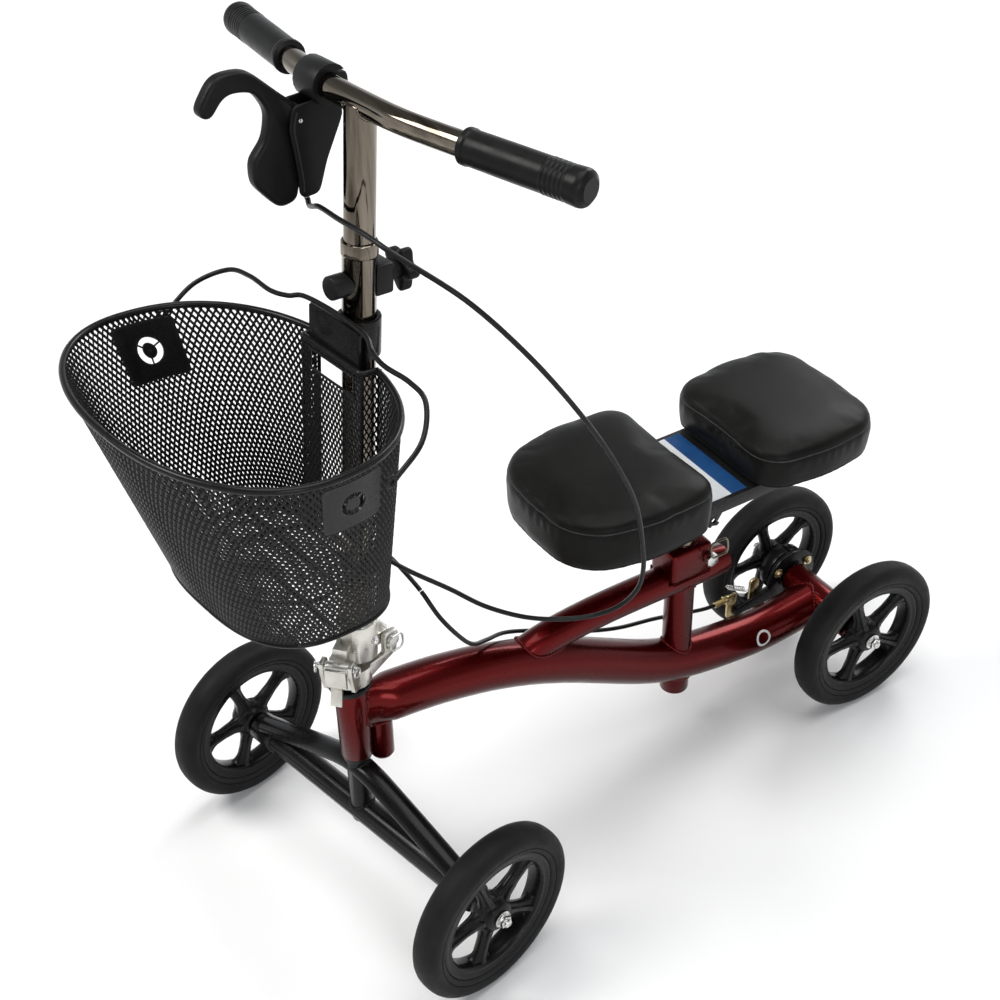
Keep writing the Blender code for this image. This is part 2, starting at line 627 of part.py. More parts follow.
# ---------------------------------------------------------------- tiller
def clamp_top():
    """Cast upper half of the fold clamp around the tiller, with the hinge knuckle behind."""
    casting = cylinder(0.0215, (0, 0, -0.0080), (0, 0, 0.0350), 20)
    pin = Vector((0, FOLD_PIN_Y, FOLD_PIN_Z)) - Vector(STEM_BASE)
    pin.rotate(Matrix.Rotation(STEM_LEAN, 3, "X"))
    join(casting, cylinder(0.0090, (-0.0120, pin.y, pin.z), (0.0120, pin.y, pin.z), 20))
    join(casting, box((-0.0120, 0.0100, pin.z - 0.0060), (0.0120, pin.y, pin.z + 0.0085)))
    tongue = [(-0.0075, -0.0375), (0.0075, -0.0375), (0.0075, -0.0150), (-0.0075, -0.0150)]
    about = Matrix.Translation((0, -STEM_BASE[1], 0)) @ LATCH_TURN @ Matrix.Translation((0, STEM_BASE[1],
                                                                                         0.0120))
    join(casting, plate(tongue, 0.0120, about))
    cut(casting, cylinder(STEM_RADIUS + GAP, (0, 0, -0.0030), (0, 0, 0.0500), 20))
    cut(casting, cylinder(FOLD_PIN_RADIUS + RUNNING_GAP, (-0.03, pin.y, pin.z), (0.03, pin.y, pin.z), 16))
    return casting


def stem_tube():
    """Outer tube of the tiller, with a rolled lip at its top."""
    inner = POST_RADIUS + RUNNING_GAP
    profile = [
        (STEM_RADIUS, STEM_TOP), (STEM_RADIUS + 0.0010, STEM_TOP - 0.0010), (STEM_RADIUS + 0.0010,
                                                                             STEM_TOP - 0.0120),
        (STEM_RADIUS, STEM_TOP - 0.0140), (STEM_RADIUS, -0.0027), (inner, -0.0027), (inner, STEM_TOP),
    ]
    made = turned(profile, 20)
    cut(made, cylinder(0.0036, (0, 0, KNOB_HEIGHT), (0, 0.0300, KNOB_HEIGHT), 12))
    return made


def star_knob():
    """Five-lobed knob with its screw, along -Y towards the tiller."""
    lobes = 5
    outline = []
    for step in range(40):
        turn = 2 * pi * step / 40
        radius = 0.0185 + 0.0030 * cos(lobes * turn)
        outline.append((radius * cos(turn), radius * sin(turn)))
    knob = plate(outline, 0.0130, Matrix.Translation((0, 0.0465, 0)) @ FRONT_PLANE)
    join(knob, cylinder(0.0090, (0, 0.0300, 0), (0, 0.0420, 0), 16))
    join(knob, cylinder(0.0032, (0, POST_RADIUS + 0.0004, 0), (0, 0.0320, 0), 12))
    return knob


def knob_saddle():
    """Plastic block that seats the knob on the back of the tube, and its cap on the front."""
    block = box((-0.0140, 0.0080, KNOB_HEIGHT - 0.0150), (0.0140, 0.0290, KNOB_HEIGHT + 0.0150), 0.0030)
    cut(block, cylinder(STEM_RADIUS + GAP, (0, 0, KNOB_HEIGHT - 0.05), (0, 0, KNOB_HEIGHT + 0.05), 20))
    cut(block, cylinder(0.0040, (0, 0, KNOB_HEIGHT), (0, 0.0400, KNOB_HEIGHT), 12))
    return block


def front_cap():
    cap = cylinder(0.0112, (0, -0.0330, KNOB_HEIGHT), (0, -0.0100, KNOB_HEIGHT), 20)
    cut(cap, cylinder(STEM_RADIUS + GAP, (0, 0, KNOB_HEIGHT - 0.05), (0, 0, KNOB_HEIGHT + 0.05), 20))
    return cap


def basket_bracket():
    """Collar on the tiller with a wide plate in front that the basket hangs over."""
    collar = cylinder(STEM_RADIUS + 0.0045, (0, 0, BRACKET_LOW), (0, 0, BRACKET_HIGH), 20)
    wing = rounded([(-0.043, BRACKET_LOW), (0.043, BRACKET_LOW), (0.043, BRACKET_HIGH),
                    (-0.043, BRACKET_HIGH)], 0.006)
    join(collar, plate(wing, 0.0040, Matrix.Translation((0, -0.0200, 0)) @ FRONT_PLANE))
    cut(collar, cylinder(STEM_RADIUS + GAP, (0, 0, 0.3000), (0, 0, 0.4500), 20))
    return collar


node("fold_clamp_top", clamp_top(), CAST, stem_axis)
node("stem_tube", stem_tube(), CHROME, tiller_axis)
node("height_knob", star_knob(), PLASTIC, knob_axis)
node("knob_saddle", knob_saddle(), PLASTIC, tiller_axis)
node("knob_front_cap", front_cap(), PLASTIC, tiller_axis)
node("basket_bracket", basket_bracket(), BLACK_METAL, tiller_axis)
cable_clip = ring(STEM_RADIUS + 0.0025, STEM_RADIUS + GAP, CLIP_HEIGHT - 0.0035, CLIP_HEIGHT + 0.0035)
eye = cylinder(0.0050, (-0.004, CLIP_Y, CLIP_HEIGHT), (0.004, CLIP_Y, CLIP_HEIGHT), 12)
eye_bore = cylinder(CABLE_RADIUS + 2 * GAP, (-0.02, CLIP_Y, CLIP_HEIGHT), (0.02, CLIP_Y, CLIP_HEIGHT), 12)
cable_clip = settled(cut(join(cable_clip, eye), eye_bore))
node("cable_clip", cable_clip, PLASTIC, tiller_axis)


# ---------------------------------------------------------------- handlebar
BAR_SWEEP = [(0.0, 0.0), (0.050, 0.0012), (0.090, 0.0070), (0.130, 0.0146), (0.180, 0.0240), (0.2380, 0.0349)]


def bar_point(x):
    """Where the handlebar's centre line is at a distance along the bar."""
    for (x0, y0), (x1, y1) in zip(BAR_SWEEP, BAR_SWEEP[1:]):
        if abs(x) <= x1:
            break
    y = y0 + (y1 - y0) * (abs(x) - x0) / (x1 - x0)
    return Vector((x, y, BAR_HEIGHT))


def bar_tube(radius, extra=0.0):
    """The swept bar as a tube of any radius, lengthened a little at both ends."""
    sweep = BAR_SWEEP[:-1] + [(BAR_SWEEP[-1][0] + extra, BAR_SWEEP[-1][1])]
    route = [(-x, y, BAR_HEIGHT) for x, y in reversed(sweep[1:])]
    route += [(x, y, BAR_HEIGHT) for x, y in sweep]
    return tube(between(route, 15), radius, 5)


def handlebar():
    """Swept bar welded across the top of the sliding inner tube."""
    bar = bar_tube(BAR_RADIUS)
    join(bar, cylinder(POST_RADIUS, (0, 0, 0.2000), (0, 0, BAR_HEIGHT), 20))
    return bar


def grip(side):
    """Rubber sleeve with a collar and a domed end, bored for the bar."""
    start, end = bar_point(side * 0.1230), bar_point(side * 0.2380)
    along = (end - start).normalized()
    sleeve = cylinder(GRIP_RADIUS, start, end + along * 0.0060, 20)
    join(sleeve, cylinder(GRIP_RADIUS + 0.0012, start, start + along * 0.0070, 20))
    cut(sleeve, bar_tube(BAR_RADIUS + GAP, 0.0005))
    return sleeve


def lever_housing():
    """Clamp ring on the bar and the web below it, with cheeks for the lever and the cable's socket."""
    centre = bar_point(LEVER_X)
    housing = cylinder(0.0185, centre + Vector((-0.0150, 0, 0)), centre + Vector((0.0150, 0, 0)), 20)
    web = rounded([(-0.004, -0.006), (0.017, -0.008), (0.019, -0.030), (0.004, -0.066), (-0.005, -0.092),
                   (-0.0205, -0.094), (-0.0185, -0.076), (-0.009, -0.055), (-0.004, -0.030)], 0.003, 2)
    place = Matrix.Translation((LEVER_X, 0, BAR_HEIGHT))
    join(housing, plate(web, 0.0200, place @ SIDE_PLANE))
    pivot_y, pivot_z = LEVER_PIVOT[1], LEVER_PIVOT[2] - BAR_HEIGHT
    cheek = rounded([(0.004, -0.012), (pivot_y - 0.009, pivot_z + 0.010), (pivot_y - 0.009, pivot_z - 0.009),
                     (0.004, -0.046)], 0.007, 3)
    for side in (1, -1):
        join(housing, plate(cheek, 0.0030, Matrix.Translation((LEVER_X + side * 0.0102, 0,
                                                               BAR_HEIGHT)) @ SIDE_PLANE))
    cut(housing, bar_tube(BAR_RADIUS + GAP))
    cut(housing, box((LEVER_X - 0.02, 0.010, BAR_HEIGHT + 0.009),
                     (LEVER_X + 0.02, 0.040, BAR_HEIGHT + 0.0115)))
    relief = cylinder(0.0125, (LEVER_X - 0.0085, *LEVER_PIVOT[1:]), (LEVER_X + 0.0085, *LEVER_PIVOT[1:]), 20)
    cut(housing, relief)
    cut(housing, cylinder(0.0023, (LEVER_X - 0.03, *LEVER_PIVOT[1:]), (LEVER_X + 0.03, *LEVER_PIVOT[1:]), 12))
    cut(housing, cylinder(FERRULE_RADIUS + GAP, FERRULE_LINE[0], FERRULE_LINE[2], 12))
    return housing


def brake_lever():
    """Hooked lever about its pivot: a round root, a long hook over the fingers and a lower lobe."""
    root = cylinder(0.0115, (-0.0070, 0, 0), (0.0070, 0, 0), 20)
    outline = rounded([
        (0.004, 0.010, 0.003), (-0.018, 0.026, 0.010), (-0.047, 0.048, 0.023), (-0.079, 0.048, 0.018),
        (-0.0955, 0.022, 0.006), (-0.0845, 0.018, 0.004), (-0.070, 0.035, 0.015), (-0.0415, 0.032, 0.015),
        (-0.027, 0.010, 0.013), (-0.0305, -0.014, 0.010), (-0.045, -0.030, 0.004), (-0.044, -0.052, 0.008),
        (-0.018, -0.078, 0.006), (0.001, -0.074, 0.004), (0.004, -0.048, 0.010), (-0.004, -0.016, 0.004),
    ], 0.004, 2)
    join(root, plate(outline, 0.0140, SIDE_PLANE))
    cut(root, cylinder(0.0023, (-0.03, 0, 0), (0.03, 0, 0), 12))
    return root


node("handlebar", handlebar(), CHROME, tiller_axis)
node("grip_left", grip(1), RUBBER, tiller_axis)
node("grip_right", grip(-1), RUBBER, tiller_axis)
node("lever_housing", lever_housing(), PLASTIC, tiller_axis)
node("brake_lever", brake_lever(), PLASTIC, lever_axis)
node("lever_pin", cylinder(0.0020, (-0.0125, 0, 0), (0.0125, 0, 0), 12), CAST, lever_axis)
ferrule = cylinder(FERRULE_RADIUS, FERRULE_LINE[0], FERRULE_LINE[1], 12)
node("cable_ferrule", ferrule, CAST, tiller_axis)


# ---------------------------------------------------------------- basket
def basket_outline(half_width, middle, front, bulge):
    """Plan of the basket: a full curve in front, flatter behind, with a recess that clears the tiller."""
    last = acos((BASKET_RECESS / half_width) ** (bulge / 2))
    half = []
    for step in range(BASKET_STEPS + 1):
        turn = (last + pi / 2) * step / BASKET_STEPS - pi / 2
        depth = BASKET_REAR - middle if turn > 0 else front - middle
        half.append((half_width * abs(cos(turn)) ** (2 / bulge),
                     middle + depth * abs(sin(turn)) ** (2 / bulge)))
    half.append((BASKET_RECESS - 0.0020, BASKET_RECESS_Y))
    return mirrored(half)


def basket():
    """Tapered open bin with a solid wall in place of the wire mesh, and two gaps behind."""
    low = basket_outline(0.1110, -0.0900, -0.1750, 2.8)
    high = basket_outline(0.1705, -0.1440, -0.2600, 2.2)
    shape = bmesh.new()
    rings = []
    for height, outline in ((BASKET_BOTTOM, low), (BASKET_RIM, high)):
        rings.append([shape.verts.new((point[0], point[1], height)) for point in outline])
    shape.faces.new(reversed(rings[0]))
    count = len(low)
    for index in range(count):
        after = (index + 1) % count
        shape.faces.new((rings[0][index], rings[0][after], rings[1][after], rings[1][index]))
    bmesh.ops.recalc_face_normals(shape, faces=shape.faces)
    bin_shape = from_bmesh("basket", shape)
    wall = bin_shape.modifiers.new("wall", "SOLIDIFY")
    wall.thickness = BASKET_WALL
    wall.offset = 0
    bin_shape = baked(bin_shape)
    for low_z, high_z in ((0.318, 0.338), (0.150, 0.172)):
        cut(bin_shape, box((-0.034, -0.045, low_z), (0.034, -0.020, high_z)))
    return bin_shape


def basket_hook():
    """Bent plate behind the basket's recess, with a lip that rests on the bracket."""
    outline = rounded([(-0.038, BRACKET_LOW - 0.0045), (0.038, BRACKET_LOW - 0.0045),
                       (0.038, BRACKET_HIGH + 0.004),
                       (-0.038, BRACKET_HIGH + 0.004)], 0.003)
    hook = plate(outline, 0.0040, Matrix.Translation((0, -0.0262, 0)) @ FRONT_PLANE)
    join(hook, box((-0.0380, -0.0265, BRACKET_HIGH + GAP), (0.0380, -0.0180, BRACKET_HIGH + 0.0040)))
    return hook


def basket_bail():
    """Carrying handle of one bent wire about its pivots, folded back on the bracket."""
    half = [(0.0, 1.0), (0.046, 0.97), (0.064, 0.88), (0.087, 0.825), (0.122, 0.83), (0.151, 0.755),
            (0.1755, 0.43),
            (BAIL_HALF_WIDTH, 0.0)]
    tilt = radians(38.6)
    route = [(-x, reach * BAIL_LENGTH) for x, reach in reversed(half[1:])] + [(x, reach * BAIL_LENGTH) for x,
                                                                              reach in half]
    points = [(x, reach * cos(tilt), reach * sin(tilt)) for x, reach in route]
    return tube(between(points, 29), BAIL_WIRE, 1)


node("basket", basket(), BLACK_METAL, tiller_axis)
node("basket_hook", basket_hook(), BLACK_METAL, tiller_axis)
node("basket_bail", basket_bail(), BLACK_METAL, bail_axis)


# ---------------------------------------------------------------- knee seat
def seat_platform():
    """Folded steel deck with side flanges, a socket for the post and two drilled tabs."""
    front, back = DECK_FRONT, DECK_BACK
    flange = 0.0160
    deck = box((-DECK_HALF_WIDTH, front, DECK_TOP - DECK_THICKNESS), (DECK_HALF_WIDTH, back, DECK_TOP))
    for side in (1, -1):
        edge = side * (DECK_HALF_WIDTH - 0.0015)
        join(deck, box((edge - 0.0015, front, DECK_TOP - flange), (edge + 0.0015, back, DECK_TOP - 0.0010)))
        tab = rounded([(SEAT_Y - 0.020, DECK_TOP - 0.010), (SEAT_Y - 0.016, DECK_TOP - 0.034),
                       (SEAT_Y - 0.002, DECK_TOP - 0.034), (SEAT_Y + 0.006, DECK_TOP - 0.010)], 0.004)
        join(deck, plate(tab, 0.0030, Matrix.Translation((edge - side * 0.0030, 0, 0)) @ SIDE_PLANE))
        cut(deck, cylinder(0.0032, (edge - 0.02, SEAT_Y - 0.009, DECK_TOP - 0.026),
                           (edge + 0.02, SEAT_Y - 0.009, DECK_TOP - 0.026), 12))
    join(deck, cylinder(0.0185, (0, SEAT_Y, DECK_TOP - 0.0420), (0, SEAT_Y, DECK_TOP - 0.0010), 20))
    join(deck, box((-0.0640, SEAT_Y - 0.0150, DECK_TOP - 0.0120),
                   (0.0640, SEAT_Y + 0.0150, DECK_TOP - 0.0010)))
    cut(deck, cylinder(SEAT_POST_RADIUS + GAP, (0, SEAT_Y, 0.2500), (0, SEAT_Y, DECK_TOP - 0.0080), 20))
    return deck


def front_pad_plan(grow=0.0):
    """Half plan of the front pad: rounded nose, straight back."""
    corners = [(0.0, -0.102 - grow, 0), (0.082 + grow, -0.097 - grow, 0.062), (0.101 + grow, -0.010, 0.12),
               (0.096 + grow, 0.078 + grow, 0.028), (0.0, 0.080 + grow, 0)]
    return [(x, y) for x, y in rounded(corners, 0.03, 3)]


def rear_pad_plan(grow=0.0):
    """Half plan of the rear pad: a rounded square, slightly wider behind its middle."""
    corners = [(0.0, 0.144 - grow, 0), (0.090 + grow, 0.144 - grow, 0.038), (0.100 + grow, 0.225, 0.15),
               (0.091 + grow, 0.308 + grow, 0.046), (0.0, 0.313 + grow, 0)]
    return [(x, y) for x, y in rounded(corners, 0.03, 3)]


def pad(plan, bottom):
    """Cushion with rounded edges."""
    top = PAD_BOTTOM + PAD_HEIGHT
    slab = plate(mirrored(plan), top - bottom, Matrix.Translation((0, 0, (top + bottom) / 2)))
    soft = slab.modifiers.new("soft", "BEVEL")
    soft.width = 0.0110
    soft.segments = 2
    soft.limit_method = "ANGLE"
    soft.angle_limit = radians(50)
    return slab


def front_pad():
    """The front cushion, whose skirt hangs round its board and the front of the deck."""
    made = baked(pad(front_pad_plan(), FRONT_SKIRT))
    pocket = plate(mirrored(front_pad_plan(-0.0095)), 0.0500, Matrix.Translation((0, 0, PAD_BOTTOM - 0.0250)))
    side = DECK_HALF_WIDTH + 2 * GAP
    slot = box((-side, DECK_FRONT - 2 * GAP, 0.3500), (side, DECK_BACK, DECK_TOP + 2 * GAP))
    return cut(made, pocket, slot)


node("seat_post", cylinder(SEAT_POST_RADIUS, (0, 0, 0.1000), (0, 0, DECK_TOP - 0.0085), 20), CHROME,
     seat_axis)
node("seat_platform", seat_platform(), BLACK_METAL, scooter)
board_middle = DECK_TOP + GAP + PAD_BOARD / 2
for name, plan in (("front", front_pad_plan), ("rear", rear_pad_plan)):
    board = plate(mirrored(plan(-0.010)), PAD_BOARD, Matrix.Translation((0, 0, board_middle)))
    node(name + "_pad_board", board, PLASTIC, scooter)
node("front_knee_pad", front_pad(), VINYL, scooter)
node("rear_knee_pad", pad(rear_pad_plan(), PAD_BOTTOM), VINYL, scooter)


# ---------------------------------------------------------------- brake cable
bpy.context.view_layer.update()
TILLER_TO_SCOOTER = scooter.matrix_world.inverted() @ tiller_axis.matrix_world


def on_tiller(x, y, z):
    """A point given from the tiller, in the scooter's frame."""
    return TILLER_TO_SCOOTER @ Vector((x, y, z))


UPPER_ROUTE = [
    on_tiller(LEVER_X, -0.0123, BAR_HEIGHT - 0.1038),
    on_tiller(LEVER_X + 0.0006, -0.0116, BAR_HEIGHT - 0.1066),
    on_tiller(-0.0555, -0.0140, 0.4655),
    on_tiller(-0.0430, -0.0190, 0.4705),
    on_tiller(-0.0252, -0.0240, 0.4775),
    on_tiller(0.0114, -0.0290, 0.4803),
    on_tiller(0.0507, -0.0300, 0.4810),
    on_tiller(0.0843, -0.0240, 0.4740),
    (0.1150, -0.2350, 0.7750), (0.1350, -0.1900, 0.7180), (0.1450, -0.1450, 0.6500),
    (0.1480, -0.1050, 0.5800), (0.1450, -0.0750, 0.5150), (0.1400, -0.0600, 0.4550),
    (0.1330, -0.0520, 0.4100), (0.1240, -0.0530, 0.3760), (0.1120, -0.0700, 0.3520),
    (0.0960, -0.1030, 0.3430), (0.0760, -0.1480, 0.3500), (0.0580, -0.1900, 0.3720),
    (0.0420, -0.2250, 0.4020),
    on_tiller(0.0403, 0.0370, 0.0993),
    on_tiller(0.0210, 0.0240, 0.1080),
    on_tiller(0.0088, CLIP_Y, CLIP_HEIGHT),
]
TO_HINGE = [
    on_tiller(0.0080, CLIP_Y, CLIP_HEIGHT),
    on_tiller(-0.0080, CLIP_Y, CLIP_HEIGHT),
    on_tiller(-0.0289, 0.0292, 0.1066),
    (-0.0520, -0.2640, 0.4200), (-0.0480, -0.2500, 0.4000), (-0.0300, -0.2430, 0.3900),
    (0.0060, -0.2385, 0.3800),
]
TO_BRAKE = [
    (0.0255, -0.2290, 0.3540), (0.0270, -0.2080, 0.3180), (0.0150, -0.1850, 0.2860),
    (-0.0050, -0.1560, 0.2620), (-0.0270, -0.1180, 0.2370), (-0.0360, -0.0700, 0.2090),
    (-0.0380, -0.0100, 0.1760), (-0.0390, 0.0450, 0.1530), (-0.0400, 0.1020, 0.1390),
    (-0.0430, 0.1500, 0.1220), (-0.0500, 0.1850, 0.1060), (-0.0530, 0.2058, 0.0996),
]
upper = between(UPPER_ROUTE, 2 * len(UPPER_ROUTE) - 1)
below = between(TO_HINGE + TO_BRAKE, 2 * len(TO_HINGE + TO_BRAKE) - 1)
hinge_pass = 2 * len(TO_HINGE) - 2
middle, lower = below[:hinge_pass + 1], below[hinge_pass:]
lower[0] = lower[0] + (lower[1] - lower[0]).normalized() * 5 * GAP
for name, route in (("upper", upper), ("middle", middle), ("lower", lower)):
    node("brake_cable_" + name, tube(route, CABLE_RADIUS, 1), PLASTIC, scooter)
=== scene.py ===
import json
from math import acos, atan2, cos, pi, radians, sin

import bmesh
import bpy
import numpy as np
from mathutils import Matrix, Vector
from mathutils.bvhtree import BVHTree


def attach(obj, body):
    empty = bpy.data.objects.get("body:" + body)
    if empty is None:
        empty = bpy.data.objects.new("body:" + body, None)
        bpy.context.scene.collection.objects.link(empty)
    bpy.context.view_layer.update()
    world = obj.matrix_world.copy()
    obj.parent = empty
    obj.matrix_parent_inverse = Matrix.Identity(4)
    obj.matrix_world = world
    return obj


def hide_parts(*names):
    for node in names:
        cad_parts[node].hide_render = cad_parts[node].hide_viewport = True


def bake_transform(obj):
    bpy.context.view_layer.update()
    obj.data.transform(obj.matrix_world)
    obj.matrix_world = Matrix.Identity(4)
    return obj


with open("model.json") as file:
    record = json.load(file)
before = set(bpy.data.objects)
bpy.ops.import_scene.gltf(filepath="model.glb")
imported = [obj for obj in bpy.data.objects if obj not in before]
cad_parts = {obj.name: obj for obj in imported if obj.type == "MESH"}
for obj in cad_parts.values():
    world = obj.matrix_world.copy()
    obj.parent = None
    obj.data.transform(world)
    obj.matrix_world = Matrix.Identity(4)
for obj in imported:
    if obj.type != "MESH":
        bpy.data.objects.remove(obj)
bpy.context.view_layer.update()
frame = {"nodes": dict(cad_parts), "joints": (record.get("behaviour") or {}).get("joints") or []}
SCENE = bpy.context.scene
JOINTS = {joint["name"]: joint for joint in frame["joints"]}

# ---------------------------------------------------------------- the CAD's own frames
STEER = Vector(JOINTS["steer"]["pos_m"])
REAR_AXLE = Vector(JOINTS["roll_rear_left"]["pos_m"])
OX, OY = STEER.x, REAR_AXLE.y - 0.3246
FRONT_Y, REAR_Y, AXLE_Z = -0.3246, 0.3246, 0.1016


def basis(origin, x, z):
    x, z = Vector(x).normalized(), Vector(z).normalized()
    m = Matrix((x, z.cross(x), z)).transposed().to_4x4()
    m.translation = origin
    return m


def shifted(x, y, z):
    return Matrix.Translation((x, y, z))


def spun(angle, axis):
    return Matrix.Rotation(angle, 4, axis)


def linked(name, data):
    """A new object in the scene."""
    made = bpy.data.objects.new(name, data)
    SCENE.collection.objects.link(made)
    return made


KNOB_H, BAR_H = 0.412, 0.5747
SCOOTER = shifted(OX, OY, 0)
FORK = basis((STEER.x, STEER.y, 0), JOINTS["roll_front_left"]["axis"], (0, 0, 1))
UP = Vector(JOINTS["bar_height"]["axis"])
BASE = Vector(JOINTS["knob_turn"]["pos_m"]) - UP * KNOB_H
TILLER = basis(BASE, JOINTS["bail_swing"]["axis"], UP)
STEM = basis(BASE, JOINTS["roll_front_left"]["axis"], UP)


# ---------------------------------------------------------------- materials
def nodes_of(name):
    m = bpy.data.materials.new(name)
    m.use_nodes = True
    tree = m.node_tree
    return m, tree, tree.nodes["Principled BSDF"]


def add(tree, kind, **values):
    n = tree.nodes.new(kind)
    for key, value in values.items():
        if key in n.inputs:
            n.inputs[key].default_value = value
        else:
            setattr(n, key, value)
    return n


def coords(tree, space="Object"):
    return add(tree, "ShaderNodeTexCoord").outputs[space]


def feed(shader, **inputs):
    """Link a socket to, or set a value on, each named input; underscores stand for the names' spaces."""
    for name, value in inputs.items():
        socket = shader.inputs[name.replace("_", " ")]
        if isinstance(value, bpy.types.NodeSocket):
            shader.id_data.links.new(value, socket)
        else:
            socket.default_value = value


def noise(tree, scale, detail=3.0, rough=0.55, stretch=None):
    where = coords(tree)
    if stretch:
        turn = add(tree, "ShaderNodeMapping")
        feed(turn, Scale=stretch, Vector=where)
        where = turn.outputs["Vector"]
    n = add(tree, "ShaderNodeTexNoise", Scale=scale, Detail=detail, Roughness=rough)
    feed(n, Vector=where)
    return n.outputs["Fac"]


def ranged(tree, source, low, high, start=0.3, stop=0.7):
    n = add(tree, "ShaderNodeMapRange")
    feed(n, From_Min=start, From_Max=stop, To_Min=low, To_Max=high, Value=source)
    return n.outputs["Result"]


def mixed(tree, factor, a, b):
    n = add(tree, "ShaderNodeMix", data_type="RGBA")
    for slot, value in ((6, a), (7, b)):
        if isinstance(value, tuple):
            n.inputs[slot].default_value = (*value, 1)
        else:
            tree.links.new(value, n.inputs[slot])
    tree.links.new(factor, n.inputs[0])
    return n.outputs[2]


def bumped(tree, shader, heights):
    """Stacks (height, distance in metres, strength) bumps."""
    last = None
    for height, distance, strength in heights:
        n = add(tree, "ShaderNodeBump", Distance=distance, Strength=strength)
        feed(n, Height=height)
        if last:
            feed(n, Normal=last)
        last = n.outputs["Normal"]
    feed(shader, Normal=last)


def finish_of(name, dark, light, rough, metallic=0.0, coat=0.0, coat_rough=0.06, patch=9.0, bumps=(),
              edge=None, spec=0.5, stretch=None):
    """Colour drifting between two tones, uneven gloss, stacked bumps and worn edges."""
    m, tree, shader = nodes_of(name)
    # Where stretch is given, as on the chrome, the two tones are drawn out into long streaks that paint
    # reflections.
    broad = noise(tree, patch, 5.0, 0.6, stretch)
    colour = mixed(tree, ranged(tree, broad, 0, 1), dark, light)
    if edge:
        worn, amount = edge
        point = add(tree, "ShaderNodeNewGeometry").outputs["Pointiness"]
        mask = ranged(tree, point, 0, amount, 0.52, 0.6)
        colour = mixed(tree, mask, colour, worn)
    smear = noise(tree, patch * 4, 6.0, 0.65, stretch)
    feed(
        shader, Base_Color=colour, Roughness=ranged(tree, smear, *rough), Metallic=metallic, Coat_Weight=coat,
        Coat_Roughness=coat_rough, Specular_IOR_Level=spec)
    bumped(tree, shader, [(noise(tree, scale, 2.0), *size) for scale, *size in bumps])
    return m


def red_paint():
    m, tree, shader = nodes_of("candy_red")
    where = coords(tree)
    flake = add(tree, "ShaderNodeTexVoronoi", Scale=2600.0)
    feed(flake, Vector=where)
    spark = ranged(tree, flake.outputs["Distance"], 1.0, 0.0, 0.0, 0.55)
    # Painted shade: the red darkens from the middle of each tube out to its silhouette, by the Layer Weight
    # facing, to stand in for the shade along the tube's edges.
    layer = add(tree, "ShaderNodeLayerWeight", Blend=0.5)
    edge_shaded_red = mixed(tree, layer.outputs["Facing"], (0.12, 0.0016, 0.002), (0.022, 0.0004, 0.0006))
    broad = mixed(tree, ranged(tree, noise(tree, 6.0), 0.0, 0.25), edge_shaded_red, (0.078, 0.0012, 0.0015))
    colour = mixed(tree, ranged(tree, spark, 0.0, 0.2, 0.5, 1.0), broad, (0.27, 0.014, 0.012))
    feed(shader, Base_Color=colour, Metallic=0.8, Roughness=ranged(tree, noise(tree, 30.0, 5.0), 0.24, 0.32),
         Specular_IOR_Level=0.25, Coat_Weight=0.16, Coat_Roughness=0.05)
    bumped(tree, shader, [(flake.outputs["Distance"], 0.0001, 0.1), (noise(tree, 240.0, 2.0), 0.0001, 0.12)])
    return m


def vinyl():
    m, tree, shader = nodes_of("pad_vinyl")
    where = coords(tree)
    grain = add(tree, "ShaderNodeTexVoronoi", Scale=620.0)
    grain.feature = "DISTANCE_TO_EDGE"
    feed(grain, Vector=where)
    cells = ranged(tree, grain.outputs["Distance"], 0.0, 1.0, 0.0, 0.18)
    soft = noise(tree, 7.0, 5.0)
    colour = mixed(tree, ranged(tree, soft, 0, 1), (0.0042, 0.0042, 0.0039), (0.0085, 0.0083, 0.0076))
    dust = mixed(
        tree, ranged(tree, noise(tree, 60.0, 6.0), 0.0, 0.05, 0.5, 0.8), colour, (0.045, 0.045, 0.042))
    feed(
        shader, Base_Color=dust, Roughness=ranged(tree, noise(tree, 22.0, 5.0), 0.3, 0.42),
        Specular_IOR_Level=0.085)
    bumped(tree, shader, [(soft, 0.004, 0.1), (noise(tree, 38.0, 3.0), 0.0012, 0.1), (cells, 0.00012, 0.35)])
    return m


def label_card():
    """Plain two-colour card: a blue band along the rear half, a pale field with faint rules in front."""
    m, tree, shader = nodes_of("label_card")
    where = coords(tree, "Generated")
    split = add(tree, "ShaderNodeSeparateXYZ")
    feed(split, Vector=where)
    band = ranged(tree, split.outputs["Y"], 0, 1, 0.628, 0.632)
    blue = mixed(tree, ranged(tree, noise(tree, 40.0), 0, 1), (0.006, 0.04, 0.135), (0.009, 0.058, 0.175))
    pale = mixed(tree, ranged(tree, noise(tree, 30.0), 0, 1), (0.62, 0.64, 0.66), (0.74, 0.75, 0.76))
    rules = add(tree, "ShaderNodeTexWave", Scale=11.0, wave_type="BANDS", bands_direction="Y")
    feed(rules, Vector=where)
    ruled = mixed(tree, ranged(tree, rules.outputs["Fac"], 0.0, 0.55, 0.8, 0.95), pale, (0.1, 0.11, 0.12))
    feed(
        shader, Base_Color=mixed(tree, band, ruled, blue),
        Roughness=ranged(tree, noise(tree, 60.0), 0.28, 0.42))
    bumped(tree, shader, [(noise(tree, 90.0), 0.0002, 0.2)])
    return m


